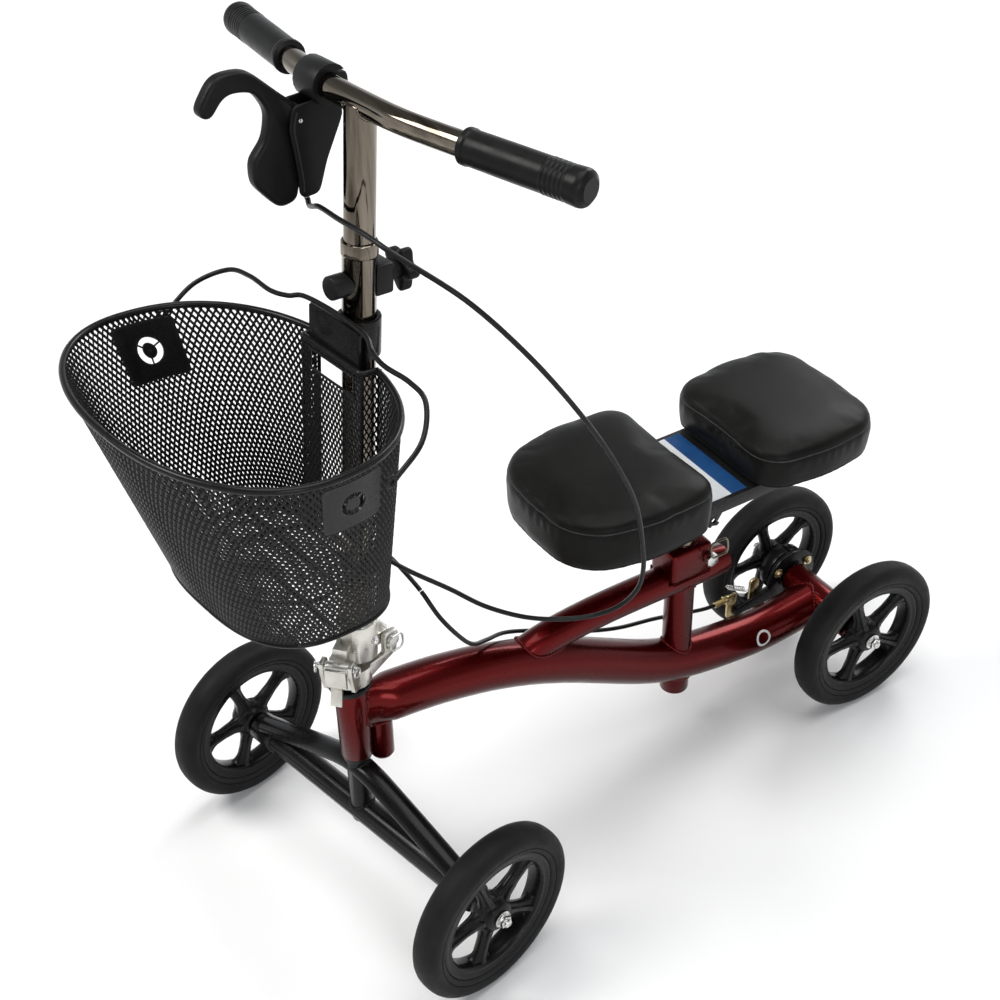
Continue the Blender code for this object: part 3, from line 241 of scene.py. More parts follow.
RED = red_paint()
VINYL = vinyl()
CARD = label_card()
BLACK = finish_of(
    "black_powder", (0.003, 0.003, 0.0032), (0.0062, 0.0062, 0.0064), (0.2, 0.33), coat=0.11, spec=0.12,
    coat_rough=0.12, patch=14.0, bumps=((420.0, 0.00018, 0.22), (60.0, 0.0006, 0.05)),
    edge=((0.03, 0.03, 0.03), 0.3))
WIRE = finish_of(
    "wire_coat", (0.0028, 0.0028, 0.0029), (0.0065, 0.0063, 0.006), (0.34, 0.5), patch=30.0, spec=0.12,
    bumps=((700.0, 0.00012, 0.25),), edge=((0.03, 0.03, 0.03), 0.25))
# Painted reflections: the chrome's dark brown and pale tones, stretched into streaks along the upright and
# across the bar, stand in for reflected bands of light and dark.
CHROME = finish_of(
    "chrome_upright", (0.06, 0.047, 0.034), (0.26, 0.228, 0.185), (0.05, 0.13), 1.0, patch=85.0,
    bumps=((90.0, 0.0001, 0.05),), stretch=(1, 1, 0.03))
CHROME_BAR = finish_of(
    "chrome_across", (0.06, 0.047, 0.034), (0.26, 0.228, 0.185), (0.05, 0.13), 1.0, patch=85.0,
    bumps=((90.0, 0.0001, 0.05),), stretch=(0.05, 1, 1))
CAST = finish_of(
    "cast_alloy", (0.3, 0.285, 0.235), (0.6, 0.585, 0.53), (0.24, 0.42), 1.0, patch=40.0,
    bumps=((260.0, 0.00035, 0.3), (900.0, 0.00012, 0.3)), edge=((0.86, 0.85, 0.82), 0.8))
STEEL = finish_of(
    "plated_steel", (0.42, 0.42, 0.41), (0.62, 0.62, 0.6), (0.18, 0.34), 1.0, patch=60.0,
    bumps=((500.0, 0.0001, 0.18),), edge=((0.9, 0.9, 0.88), 0.6))
ZINC = finish_of(
    "yellow_zinc", (0.36, 0.24, 0.09), (0.6, 0.5, 0.24), (0.24, 0.4), 1.0, patch=70.0,
    bumps=((400.0, 0.0002, 0.2),), edge=((0.8, 0.74, 0.52), 0.7))
PLASTIC = finish_of(
    "black_plastic", (0.0034, 0.0034, 0.0036), (0.007, 0.007, 0.0072), (0.3, 0.44), patch=18.0, spec=0.12,
    bumps=((1100.0, 0.00012, 0.35), (160.0, 0.0003, 0.06)), edge=((0.035, 0.035, 0.035), 0.5))
MOULDED = finish_of(
    "wheel_plastic", (0.0034, 0.0034, 0.0036), (0.0068, 0.0068, 0.007), (0.22, 0.36), patch=20.0, spec=0.14,
    bumps=((900.0, 0.0001, 0.22), (90.0, 0.0005, 0.05)), edge=((0.045, 0.045, 0.045), 0.5))
TYRE = finish_of(
    "tyre_rubber", (0.006, 0.006, 0.0063), (0.0125, 0.0123, 0.0123), (0.45, 0.65), patch=26.0, spec=0.11,
    bumps=((700.0, 0.0002, 0.35), (120.0, 0.0005, 0.12)), edge=((0.055, 0.053, 0.05), 0.6))
GRIP = finish_of(
    "grip_rubber", (0.0036, 0.0036, 0.0037), (0.0078, 0.0077, 0.0074), (0.26, 0.4), patch=24.0, spec=0.11,
    bumps=((900.0, 0.00015, 0.35),), edge=((0.04, 0.04, 0.04), 0.5))
JACKET = finish_of(
    "cable_jacket", (0.0034, 0.0034, 0.0035), (0.0066, 0.0066, 0.0067), (0.26, 0.4), patch=30.0, spec=0.2,
    bumps=((500.0, 0.0001, 0.15),))
WHITE_INK = finish_of(
    "white_ink", (0.55, 0.55, 0.53), (0.7, 0.7, 0.68), (0.35, 0.5), patch=60.0, bumps=((600.0, 0.0001, 0.1),))
THREAD = finish_of(
    "seam_thread", (0.006, 0.006, 0.006), (0.016, 0.016, 0.015), (0.5, 0.7), patch=80.0,
    bumps=((900.0, 0.0002, 0.4),))


# ---------------------------------------------------------------- mesh tools
def mm(*rows):
    """A table whose rows are given in millimetres, in metres."""
    return [tuple(v / 1000 for v in row) for row in rows]


def piece(name, verts, faces, finish, body, place=None, smooth=35, replaces=()):
    """A shown piece: its mesh in the row frame, its finish, and the CAD body it moves with."""
    data = bpy.data.meshes.new(name)
    shape = bmesh.new()
    for v in verts:
        shape.verts.new(v)
    shape.verts.ensure_lookup_table()
    for f in faces:
        try:
            shape.faces.new([shape.verts[i] for i in f])
        except ValueError:
            pass
    if place is not None:
        bmesh.ops.transform(shape, matrix=place, verts=shape.verts)
    bmesh.ops.recalc_face_normals(shape, faces=shape.faces)
    shape.to_mesh(data)
    shape.free()
    data.shade_smooth()
    data.set_sharp_from_angle(angle=radians(smooth))
    made = linked(name, data)
    data.materials.append(finish)
    if body:
        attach(made, body)
    if replaces:
        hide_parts(*replaces)
    return made


class Shape:
    """Verts and faces gathered from several simple forms into one piece."""

    def __init__(self):
        self.verts, self.faces = [], []

    def add(self, verts, faces, place=None):
        base = len(self.verts)
        verts = [Vector(v) for v in verts]
        if place is not None:
            verts = [place @ v for v in verts]
        self.verts += verts
        self.faces += [tuple(base + i for i in f) for f in faces]
        return self

    def made(self, name, finish, body, place=None, smooth=35, replaces=()):
        return piece(name, self.verts, self.faces, finish, body, place, smooth, replaces)


def smooth_path(points, per_span=6, closed=False):
    pts = [Vector(p) for p in points]
    n = len(pts)
    spans = n if closed else n - 1
    get = (lambda i: pts[i % n]) if closed else (
        lambda i: pts[i] if 0 <= i < n else (2 * pts[0] - pts[1] if i < 0 else 2 * pts[-1] - pts[-2]))
    out = []
    for span in range(spans):
        a, b, c, d = get(span - 1), get(span), get(span + 1), get(span + 2)
        for k in range(per_span):
            t = k / per_span
            out.append(0.5 * (2 * b + (c - a) * t + (2 * a - 5 * b + 4 * c - d) * t * t
                              + (3 * b - a - 3 * c + d) * t ** 3))
    if not closed:
        out.append(pts[-1])
    return out


def sweep(path, radius, sides=16, closed=False, caps=True, up=None, squash=None):
    """(verts, faces) of a round or flattened tube along a path; radius may be one value or one a point."""
    pts = [Vector(p) for p in path]
    n = len(pts)
    radii = radius if hasattr(radius, "__len__") else [radius] * n
    tangents = []
    for i in range(n):
        if closed:
            t = pts[(i + 1) % n] - pts[i - 1]
        else:
            t = pts[min(i + 1, n - 1)] - pts[max(i - 1, 0)]
        tangents.append(t.normalized())
    normal = Vector(up) if up else tangents[0].orthogonal()
    verts, faces = [], []
    for i in range(n):
        if up:
            normal = Vector(up)
        normal = (normal - tangents[i] * normal.dot(tangents[i])).normalized()
        side = tangents[i].cross(normal)
        wide, tall = squash[i] if squash and hasattr(squash[0], "__len__") else (squash or (1, 1))
        for k in range(sides):
            a = 2 * pi * k / sides
            verts.append(pts[i] + normal * (sin(a) * radii[i] * tall) + side * (cos(a) * radii[i] * wide))
    rings = n if closed else n - 1
    for i in range(rings):
        j = (i + 1) % n
        for k in range(sides):
            m = (k + 1) % sides
            faces.append((i * sides + k, i * sides + m, j * sides + m, j * sides + k))
    if caps and not closed:
        faces.append(tuple(range(sides))[::-1])
        faces.append(tuple((n - 1) * sides + k for k in range(sides)))
    return verts, faces


def lathe(profile, steps=48, closed=True):
    """(verts, faces) of a profile of (radius, height) turned about Z; closed joins its ends."""
    verts, faces = [], []
    count = len(profile)
    for s in range(steps):
        a = 2 * pi * s / steps
        verts += [(r * cos(a), r * sin(a), z) for r, z in profile]
    last = count if closed else count - 1
    for s in range(steps):
        t = (s + 1) % steps
        for k in range(last):
            m = (k + 1) % count
            faces.append((s * count + k, t * count + k, t * count + m, s * count + m))
    return verts, faces


def turned(start, end, profile, steps=40, closed=True):
    """A lathe form set on the line between two points; its profile's heights are metres from start."""
    start, end = Vector(start), Vector(end)
    m = (end - start).to_track_quat("Z", "Y").to_matrix().to_4x4()
    m.translation = start
    verts, faces = lathe(profile, steps, closed)
    return [m @ Vector(v) for v in verts], faces


def rod(start, end, radius, chamfer=0.0006, steps=32, radius_end=None):
    """A straight bar with broken edges."""
    long = (Vector(end) - Vector(start)).length
    far = radius if radius_end is None else radius_end
    c = min(chamfer, radius * 0.4)
    return turned(
        start, end, [(1e-5, 0), (radius - c, 0), (radius - c * 0.3, c * 0.3), (radius, c), (far, long - c),
        (far - c * 0.3, long - c * 0.3), (far - c, long), (1e-5, long)], steps, False)


def pipe(start, end, outer, inner, chamfer=0.0006, steps=40):
    long = (Vector(end) - Vector(start)).length
    c = chamfer
    return turned(
        start, end,
        [(inner, 0), (outer - c, 0), (outer, c), (outer, long - c), (outer - c, long), (inner, long)], steps)


def mirrored(profile):
    """A profile from its top to its middle, joined to its own reflection."""
    return profile + [(r, -z) for r, z in reversed(profile[:-1])]


def outline_arc(corners, radius, steps=5):
    """An outline with each (x, y) or (x, y, its radius) corner rounded."""
    out, count = [], len(corners)
    for i, corner in enumerate(corners):
        here = Vector(corner[:2])
        before = (Vector(corners[i - 1][:2]) - here).normalized()
        after = (Vector(corners[(i + 1) % count][:2]) - here).normalized()
        size = corner[2] if len(corner) > 2 else radius
        if size <= 0:
            out.append(here)
            continue
        half = acos(max(-1, min(1, before.dot(after)))) / 2
        centre = here + (before + after).normalized() * size / sin(half)
        a, b = here + before * size / sin(half) * cos(half), here + after * size / sin(half) * cos(half)
        first = atan2(a.y - centre.y, a.x - centre.x)
        turn = (atan2(b.y - centre.y, b.x - centre.x) - first + pi) % (2 * pi) - pi
        out += [centre + Vector((cos(first + turn * k / steps), sin(first + turn * k / steps))) * size
                for k in range(steps + 1)]
    return out


def spread(loop, count=140):
    """The loop at even steps of its length."""
    closed = np.vstack([loop, loop[:1]])
    far = np.concatenate([[0], np.cumsum(np.linalg.norm(np.diff(closed, axis=0), axis=1))])
    at = np.linspace(0, far[-1], count + 1)[:-1]
    return np.stack([np.interp(at, far, closed[:, k]) for k in (0, 1)], 1)


SIDE = spun(pi / 2, "Z") @ spun(pi / 2, "X")
FRONT = spun(pi / 2, "X")


def slab(outline, thickness, bevel=0.001, segments=3, plane=None):
    """(verts, faces) of a flat outline given thickness, with its rims rounded."""
    shape = bmesh.new()
    low = [shape.verts.new((p[0], p[1], -thickness / 2)) for p in outline]
    high = [shape.verts.new((p[0], p[1], thickness / 2)) for p in outline]
    count = len(outline)
    rims = [shape.faces.new(low[::-1]), shape.faces.new(high)]
    for i in range(count):
        shape.faces.new((low[i], low[(i + 1) % count], high[(i + 1) % count], high[i]))
    bmesh.ops.recalc_face_normals(shape, faces=shape.faces)
    if bevel:
        edges = [e for f in rims for e in f.edges]
        bmesh.ops.bevel(shape, geom=edges, offset=bevel, offset_type="OFFSET", segments=segments, profile=0.5,
                        affect="EDGES", clamp_overlap=True)
    verts = [v.co.copy() for v in shape.verts]
    faces = [tuple(v.index for v in f.verts) for f in shape.faces]
    shape.free()
    if plane is not None:
        verts = [plane @ v for v in verts]
    return verts, faces


def block(low, high, bevel=0.001, segments=3):
    low, high = Vector(low), Vector(high)
    shape = bmesh.new()
    bmesh.ops.create_cube(shape, size=1)
    bmesh.ops.scale(shape, vec=high - low, verts=shape.verts)
    bmesh.ops.translate(shape, vec=(low + high) / 2, verts=shape.verts)
    bmesh.ops.bevel(
        shape, geom=shape.edges, offset=bevel, offset_type="OFFSET", segments=segments, profile=0.5,
        affect="EDGES")
    verts = [v.co.copy() for v in shape.verts]
    faces = [tuple(v.index for v in f.verts) for f in shape.faces]
    shape.free()
    return verts, faces


def hexagon(radius):
    return [(radius * cos(pi / 3 * k), radius * sin(pi / 3 * k)) for k in range(6)]


def bolt_head(place, across=0.0065, height=0.005, washer=0.01):
    """Hex head with a chamfered top on a washer, along +Z of its place."""
    s = Shape()
    s.add(
        *lathe([(1e-5, 0), (washer - 0.0004, 0), (washer, 0.0004), (washer, 0.0011),
        (washer - 0.0004, 0.0014), (1e-5, 0.0014)], 28, False))
    s.add(
        *slab(outline_arc(hexagon(across), 0.0006, 2), height, 0.0007, 2, shifted(0, 0, 0.0012 + height / 2)))
    s.add(
        *lathe([(1e-5, height + 0.0012), (across * 0.62, height + 0.0012), (across * 0.5, height + 0.0017),
        (1e-5, height + 0.0019)], 24, False))
    return [place @ v for v in s.verts], s.faces


def weld(path_a, radius_a, path_b, radius_b, bead, squash=1.0, last=False):
    """(verts, faces) of a rippled bead where tube a, which starts inside tube b, comes out of it."""
    a = np.array([tuple(p) for p in path_a])
    wide = np.array(squash if hasattr(squash, "__len__") else [squash] * len(a))[:, None]
    b = np.array([tuple(p) for p in path_b])
    tangent = np.gradient(a, axis=0)
    tangent /= np.linalg.norm(tangent, axis=1)[:, None]
    ref = np.array([0, 0, 1.0]) if abs(tangent[0][2]) < 0.9 else np.array([0, 1.0, 0])
    n = ref - tangent * (tangent @ ref)[:, None]
    n /= np.linalg.norm(n, axis=1)[:, None]
    s = np.cross(tangent, n)

    def gap(p):
        seg, rel = b[1:] - b[:-1], p[:, None, :] - b[None, :-1, :]
        t = np.clip((rel * seg).sum(2) / (seg * seg).sum(1), 0, 1)
        return np.linalg.norm(rel - t[..., None] * seg, axis=2).min(1) - radius_b

    out = []
    for k in range(72):
        ang = 2 * pi * k / 72
        line = a + radius_a * (n * sin(ang) + s * cos(ang) * wide)
        d = gap(line)
        cross = [i for i in range(len(d) - 1) if d[i] <= 0 < d[i + 1]]
        if not cross:
            continue
        i = cross[-1] if last else cross[0]
        f = -d[i] / (d[i + 1] - d[i])
        out.append(Vector(line[i] + f * (line[i + 1] - line[i])))
    if len(out) < 30:
        return [], []
    full = smooth_path(out, 3, True)
    radii = [bead * (1 + 0.16 * sin(2 * pi * i / 4.5)) for i in range(len(full))]
    return sweep(full, radii, 10, True)


def paint(node, finish):
    """Give a carried-over CAD node a finish."""
    target = frame["nodes"][node]
    if not target.data.materials:
        target.data.materials.append(finish)
    for entry in target.material_slots:
        entry.link = "OBJECT"
        entry.material = finish


def straight(a, b, count=24):
    a, b = Vector(a), Vector(b)
    return [a + (b - a) * i / (count - 1) for i in range(count)]


def union(*parts):
    """(verts, faces) of closed forms made into one skin."""
    held = []
    for verts, faces in parts:
        data = bpy.data.meshes.new("part")
        data.from_pydata([tuple(v) for v in verts], [], faces)
        shape = bmesh.new()
        shape.from_mesh(data)
        bmesh.ops.recalc_face_normals(shape, faces=shape.faces)
        shape.to_mesh(data)
        shape.free()
        held.append(linked("part", data))
    first = held[0]
    for other in held[1:]:
        change = first.modifiers.new("join", "BOOLEAN")
        change.operation, change.object, change.solver = "UNION", other, "EXACT"
    bpy.context.view_layer.update()
    done = first.evaluated_get(bpy.context.evaluated_depsgraph_get()).to_mesh()
    verts = [v.co.copy() for v in done.vertices]
    faces = [tuple(f.vertices) for f in done.polygons]
    for made in held:
        bpy.data.objects.remove(made, do_unlink=True)
    return verts, faces


def refined(node, finish, body, bevel=0.0006, segments=2, angle=28):
    """A CAD node's own shape with its facets merged and its edges broken, standing for that node."""
    shape = bmesh.new()
    shape.from_mesh(frame["nodes"][node].data)
    bmesh.ops.remove_doubles(shape, verts=shape.verts, dist=0.00002)
    bmesh.ops.dissolve_limit(shape, angle_limit=radians(1.5), verts=shape.verts, edges=shape.edges)
    hard = [e for e in shape.edges if len(e.link_faces) == 2 and e.calc_face_angle(0) > radians(angle)]
    bmesh.ops.bevel(
        shape, geom=hard, offset=bevel, offset_type="OFFSET", segments=segments, profile=0.5, affect="EDGES",
        clamp_overlap=True)
    bmesh.ops.remove_doubles(shape, verts=shape.verts, dist=0.000005)
    verts = [v.co.copy() for v in shape.verts]
    faces = [tuple(v.index for v in f.verts) for f in shape.faces]
    shape.free()
    return piece(node + "_fine", verts, faces, finish, body, replaces=(node,))


# ---------------------------------------------------------------- camera, floor and light
def place_camera():
    az, el, roll = radians(58.7529), radians(37.6866), radians(-1.5068)
    back = Vector((sin(az) * cos(el), -cos(az) * cos(el), sin(el)))
    right = Vector((cos(az), sin(az), 0))
    up = back.cross(right)
    across = right * cos(roll) + up * sin(roll)
    top = -right * sin(roll) + up * cos(roll)
    m = Matrix((across, top, back)).transposed().to_4x4()
    m.translation = (1.1562927, -0.7739972, 1.4801934)
    camera = linked("camera", bpy.data.cameras.new("camera"))
    camera.data.sensor_fit = "HORIZONTAL"
    camera.data.sensor_width = 36
    camera.data.lens = 59.365
    camera.data.clip_start = 0.05
    camera.data.clip_end = 100
    camera.matrix_world = m
    SCENE.camera = camera


def light(name, where, at, size, power, colour=(1, 1, 1), tall=None):
    lamp = bpy.data.lights.new(name, "AREA")
    lamp.shape = "RECTANGLE"
    lamp.size, lamp.size_y = size, tall or size
    lamp.energy, lamp.color = power, colour
    made = linked(name, lamp)
    made.location = where
    made.rotation_euler = (Vector(at) - Vector(where)).to_track_quat("-Z", "Y").to_euler()


def studio():
    m, tree, shader = nodes_of("pale_floor")
    colour = mixed(tree, ranged(tree, noise(tree, 1.5), 0, 1), (0.86, 0.86, 0.86), (0.9, 0.9, 0.9))
    feed(shader, Base_Color=colour, Roughness=0.9, Specular_IOR_Level=0.15)
    # Painted light: the floor glows, more the farther it lies from the middle, from 1.2 m out to 4.5 m, so
    # that the far floor reads white.
    place = coords(tree)
    away = add(tree, "ShaderNodeVectorMath", operation="LENGTH")
    tree.links.new(place, away.inputs[0])
    feed(shader, Emission_Color=(0.97, 0.98, 1.0, 1),
         Emission_Strength=ranged(tree, away.outputs["Value"], 0.0, 0.62, 1.2, 4.5))
    floor = piece(
        "floor", [(-9, -9, -0.0005), (9, -9, -0.0005), (9, 9, -0.0005), (-9, 9, -0.0005)], [(0, 1, 2, 3)], m,
        None)
    world = bpy.data.worlds.new("studio")
    world.use_nodes = True
    sky = world.node_tree
    toward = add(sky, "ShaderNodeSeparateXYZ")
    feed(toward, Vector=coords(sky, "Generated"))
    feed(sky.nodes["Background"], Color=(0.95, 0.97, 1.0, 1),
         Strength=ranged(sky, toward.outputs["Z"], 0.9, 0.24, 0.26, 0.5))
    SCENE.view_settings.view_transform = "Standard"
    SCENE.world = world
    light("key", (-0.9, -2.0, 2.9), (0, 0, 0.3), 1.3, 66, (1.0, 0.985, 0.96))
    light("side", (2.8, -0.6, 1.7), (0, 0, 0.4), 1.1, 17, (0.97, 0.985, 1.0))
    light("back", (-1.2, 2.6, 2.4), (0, 0, 0.4), 1.4, 44)
    light("top", (0.2, 0.3, 3.4), (0, 0, 0.3), 2.4, 66)


place_camera()
studio()


# ---------------------------------------------------------------- frame
MAIN_RADIUS, UPPER_RADIUS, CROSS_RADIUS, POST_RADIUS, LUG_RADIUS = 0.0268, 0.019, 0.02, 0.0175, 0.0135
HEAD_LOW, HEAD_HIGH, SEAT_Y = 0.1915, 0.2845, 0.105


def frame_tubes():
    main = smooth_path(
        mm((0, -316, 252.5), (0, -289, 250), (0, -220, 241.2), (0, -143, 221.8), (0, -63, 188.4),
        (0, 50, 126.6), (0, 105, 105.2), (0, 172, 92), (0, 240, 86.5), (0, 324.6, 93)), 8)
    upper = smooth_path(mm((0, -130, 215), (0, -85, 230), (0, -20, 237), (0, 60, 237.5), (0, 167, 234)), 8)
    widths = [(float(np.interp(p.y, [-0.316, -0.3, -0.282], [0.63, 0.72, 1.0])), 1.0) for p in main]
    main_tube = sweep(main, MAIN_RADIUS, 40, up=(1, 0, 0), squash=[(t, w) for w, t in widths])
    ends = [UPPER_RADIUS] * len(upper)
    ends[-1], ends[-2] = 0.0172, 0.0186
    upper_tube = sweep(upper, ends, 36, up=(1, 0, 0))
    head = [Vector((0, FRONT_Y, z)) for z in np.linspace(HEAD_LOW, HEAD_HIGH, 30)]
    lug = [Vector((0, FRONT_Y + 0.03, z)) for z in (0.1698, 0.1704, 0.1722, 0.1755, 0.2, 0.235)]
    seat = [Vector((0, SEAT_Y, z)) for z in np.linspace(0.06, 0.27, 40)]
    cross = [Vector((x, REAR_Y, AXLE_Z)) for x in np.linspace(-0.04, 0.07, 24)]
    receiver = block((-0.022, 0.077, 0.245), (0.022, 0.133, 0.288), 0.0055, 4)
    red = union(
        main_tube, upper_tube, receiver,
        rod((0, FRONT_Y, HEAD_LOW), (0, FRONT_Y, HEAD_HIGH), POST_RADIUS, 0.001, 40),
        sweep(lug, [0.0075, 0.0094, 0.0112, 0.0132, LUG_RADIUS, LUG_RADIUS], 32),
        rod((0, SEAT_Y, 0.06), (0, SEAT_Y, 0.27), POST_RADIUS, 0.0012, 36),
        rod((-0.04, REAR_Y, AXLE_Z), (0.07, REAR_Y, AXLE_Z), CROSS_RADIUS, 0.0012, 40))
    piece("frame_tubes", *red, RED, "frame", SCOOTER, 30, ("main_frame",))
    welds = Shape()
    for bead in (
            (main, MAIN_RADIUS, head, POST_RADIUS, 0.0022, [w for w, _ in widths]),
            (upper, UPPER_RADIUS, main, MAIN_RADIUS, 0.0021),
            (seat[::-1], POST_RADIUS, upper, UPPER_RADIUS, 0.0018, 1.0, True),
            (straight((0, SEAT_Y, 0.105), (0, SEAT_Y, 0.2), 40), POST_RADIUS, main, MAIN_RADIUS, 0.002),
            (straight((0, SEAT_Y, 0.105), (0, SEAT_Y, 0.062), 40), POST_RADIUS, main, MAIN_RADIUS, 0.002),
            (lug[::-1], LUG_RADIUS, main, MAIN_RADIUS, 0.0018),
            (main[::-1], MAIN_RADIUS, cross, CROSS_RADIUS, 0.0021)):
        welds.add(*weld(*bead))
    loop = outline_arc(mm((-22.2, 76.8), (22.2, 76.8), (22.2, 133.2), (-22.2, 133.2)), 0.006, 4)
    rim = smooth_path([(p.x, p.y, 0.2455) for p in loop], 3, True)
    welds.add(*sweep(rim, [0.0017 * (1 + 0.16 * sin(i * 1.4)) for i in range(len(rim))], 8, True))
    welds.made("frame_welds", RED, "frame", SCOOTER, 60)
    return main


MAIN = frame_tubes()


def frame_mark():
    """Small plain ring printed on the side of the main tube."""
    here = min(range(len(MAIN)), key=lambda i: abs(MAIN[i].y - 0.222))
    along = (MAIN[here + 1] - MAIN[here - 1]).normalized()
    centre = MAIN[here]
    side, high = Vector((1, 0, 0)), Vector((1, 0, 0)).cross(along) * -1
    if high.z < 0:
        high = -high
    verts, faces = [], []
    steps = 48
    for k in range(steps):
        a = 2 * pi * k / steps
        for r, lift in mm((7.8, 0), (7.8, 0.25), (10.8, 0.25), (10.8, 0)):
            turn = 0.35 + r * sin(a) / MAIN_RADIUS
            out = side * cos(turn) + high * sin(turn)
            verts.append(centre + along * (r * cos(a)) + out * ((MAIN_RADIUS - 0.00002) + lift))
    for k in range(steps):
        j = (k + 1) % steps
        for q in range(4):
            faces.append((k * 4 + q, j * 4 + q, j * 4 + (q + 1) % 4, k * 4 + (q + 1) % 4))
    piece("frame_ring_mark", verts, faces, WHITE_INK, "frame", SCOOTER, 40)


frame_mark()


# ---------------------------------------------------------------- fork
STEERER_RADIUS, BEAM_RADIUS = 0.0127, 0.015


def fork():
    arch = smooth_path(
        mm((-166, 0, 112), (-110, 0, 135), (-50, 0, 158.2), (-22, 0, 167.5), (0, 0, 170.5), (22, 0, 167.5),
        (50, 0, 158.2), (110, 0, 135), (166, 0, 112)), 8)
    black = union(
        rod((0, 0, 0.09), (0, 0, 0.312), STEERER_RADIUS, 0.0008, 36),
        rod((-0.175, 0, AXLE_Z), (0.175, 0, AXLE_Z), BEAM_RADIUS, 0.001, 36),
        sweep(arch, 1.0, 32, up=(0, 1, 0), squash=(0.01, 0.0135)),
        *[rod((side * near, 0, AXLE_Z), (side * far, 0, AXLE_Z), radius, chamfer, steps)
          for near, far, radius, chamfer, steps in (
              (0.148, 0.1805, 0.017, 0.0012, 36), (0.16, 0.1843, 0.01, 0.0008, 28))
          for side in (1, -1)])
    piece("fork_tubes", *black, BLACK, "steering", FORK, 30, ("front_fork",))
    welds = Shape()
    post = straight((0, 0, 0.1016), (0, 0, 0.3), 60)
    axle = straight((-0.175, 0, AXLE_Z), (0.175, 0, AXLE_Z), 30)
    welds.add(*weld(post, STEERER_RADIUS, axle, BEAM_RADIUS, 0.0018))
    for end in (0.205, 0.12):
        welds.add(*weld(straight((0, 0, 0.1705), (0, 0, end), 30), STEERER_RADIUS, arch, 0.0102, 0.0016))
    for side in (1, -1):
        loop = [Vector((side * 0.1478, 0.0156 * cos(2 * pi * k / 60), AXLE_Z + 0.0156 * sin(2 * pi * k / 60)))
                for k in range(60)]
        welds.add(*sweep(loop, [0.0016 * (1 + 0.15 * sin(i * 1.5)) for i in range(60)], 8, True))
    welds.made("fork_welds", BLACK, "steering", FORK, 60)


fork()


# ---------------------------------------------------------------- wheels
def wheel_forms():
    rim = Shape()
    bed = mm(
        (76.3, -11.8), (75.7, -12.4), (73.5, -12.6), (71.5, -11.8), (69, -11.6), (66.8, -11.6), (65, -10),
        (64, -7), (63.2, -3.5), (63, 0))
    rim.add(*lathe(mirrored(bed), 96))
    hub = mm(
        (5.6, -16.5), (8.8, -16.5), (9.2, -15.8), (12, -15.5), (15, -14.8), (16.8, -12.8), (18, -9.5),
        (19.6, -7.2), (21.8, -6.2), (22.2, 0))
    rim.add(*lathe(mirrored(hub), 72))
    for k in range(5):
        turn = spun(0.31 + pi / 5 + 2 * pi * k / 5, "Z")
        verts, faces, rows = [], [], []
        for i in range(21):
            t = i / 20
            r = 0.017 + t * 0.049
            wide = float(
                np.interp(t, [0, 0.1, 0.25, 0.5, 0.72, 0.88, 1.0],
                [0.012, 0.0098, 0.0076, 0.007, 0.0078, 0.0118, 0.0185]))
            web = float(np.interp(t, [0, 0.2, 0.8, 1.0], [0.006, 0.0044, 0.0044, 0.0064]))
            ridge = float(np.interp(t, [0, 0.15, 0.5, 0.85, 1.0], [0.011, 0.0086, 0.0074, 0.0078, 0.0098]))
            rib = float(np.interp(t, [0, 0.5, 1.0], [0.0036, 0.0026, 0.0034]))
            half = [
                (wide, 0.0), (wide - 0.0006, web * 0.72), (wide - 0.002, web), (rib + 0.0016, web + 0.0003),
                (rib + 0.0004, web + 0.0012), (rib, ridge - 0.0008), (rib - 0.0009, ridge)]
            loop = half + [(-x, z) for x, z in reversed(half)]
            loop += [(x, -z) for x, z in reversed(loop[1:-1])]
            sag = (0.0009 if t > 0.9 else 0.0)
            rows.append(len(loop))
            verts += [turn @ Vector((r - sag * abs(x) / wide, x, z)) for x, z in loop]
        n = rows[0]
        for i in range(20):
            for q in range(n):
                m = (q + 1) % n
                faces.append((i * n + q, i * n + m, (i + 1) * n + m, (i + 1) * n + q))
        faces += [tuple(range(n))[::-1], tuple(20 * n + q for q in range(n))]
        rim.add(verts, faces)
    side = mm(
        (76.6, 12.6), (78, 14.3), (80.5, 15), (81.8, 15.1), (82.2, 14.5), (82.8, 14.5), (83.2, 15.4),
        (86, 16.2), (89.5, 16.5), (92.5, 16), (95.2, 14.9), (97.6, 13.1), (99.5, 10.7), (100.8, 7.6),
        (101.4, 4), (101.6, 0))
    tyre = lathe(mirrored(side), 128)
    return rim, tyre


def wheels():
    rim, tyre = wheel_forms()
    turn = spun(pi / 2, "Y")
    for end, base, y, track in (("rear", SCOOTER, REAR_Y, 0.18), ("front", FORK, 0, 0.403)):
        for label, side in (("left", 1), ("right", -1)):
            place = base @ shifted(side * track / 2, y, AXLE_Z) @ turn
            tag, body = f"{end}_{label}", f"wheel_{end}_{label}"
            piece("wheel_" + tag, rim.verts, rim.faces, MOULDED, body, place, 38, ("rim_" + tag,))
            piece("tread_" + tag, *tyre, TYRE, body, place, 50, ("tyre_" + tag,))
            out = base @ shifted(side * (track / 2 + 0.0168), y, AXLE_Z) @ spun(side * pi / 2, "Y")
            cap = Shape()
            cap.add(*bolt_head(Matrix.Identity(4), 0.0074, 0.0058, 0.0098))
            cap.add(*lathe(mm((0.01, 6.2), (4.6, 6.2), (4.6, 9.2), (4, 10), (0.01, 10.4)), 24, False))
            cap.made("axle_nut_" + tag, STEEL, "steering" if end == "front" else "frame", out, 30,
                     (f"{end}_axle_nut_{label}",))


wheels()
paint("front_axle", STEEL)
paint("rear_axle", STEEL)


# ---------------------------------------------------------------- tiller, bar and grips
BAR_RADIUS, UPRIGHT_RADIUS = 0.011, 0.0143


def bow(x):
    """How far the bar sweeps back at x."""
    return float(
        np.interp(abs(x), [0, 0.05, 0.09, 0.13, 0.18, 0.238], [0, 0.0012, 0.007, 0.0146, 0.024, 0.0349]))


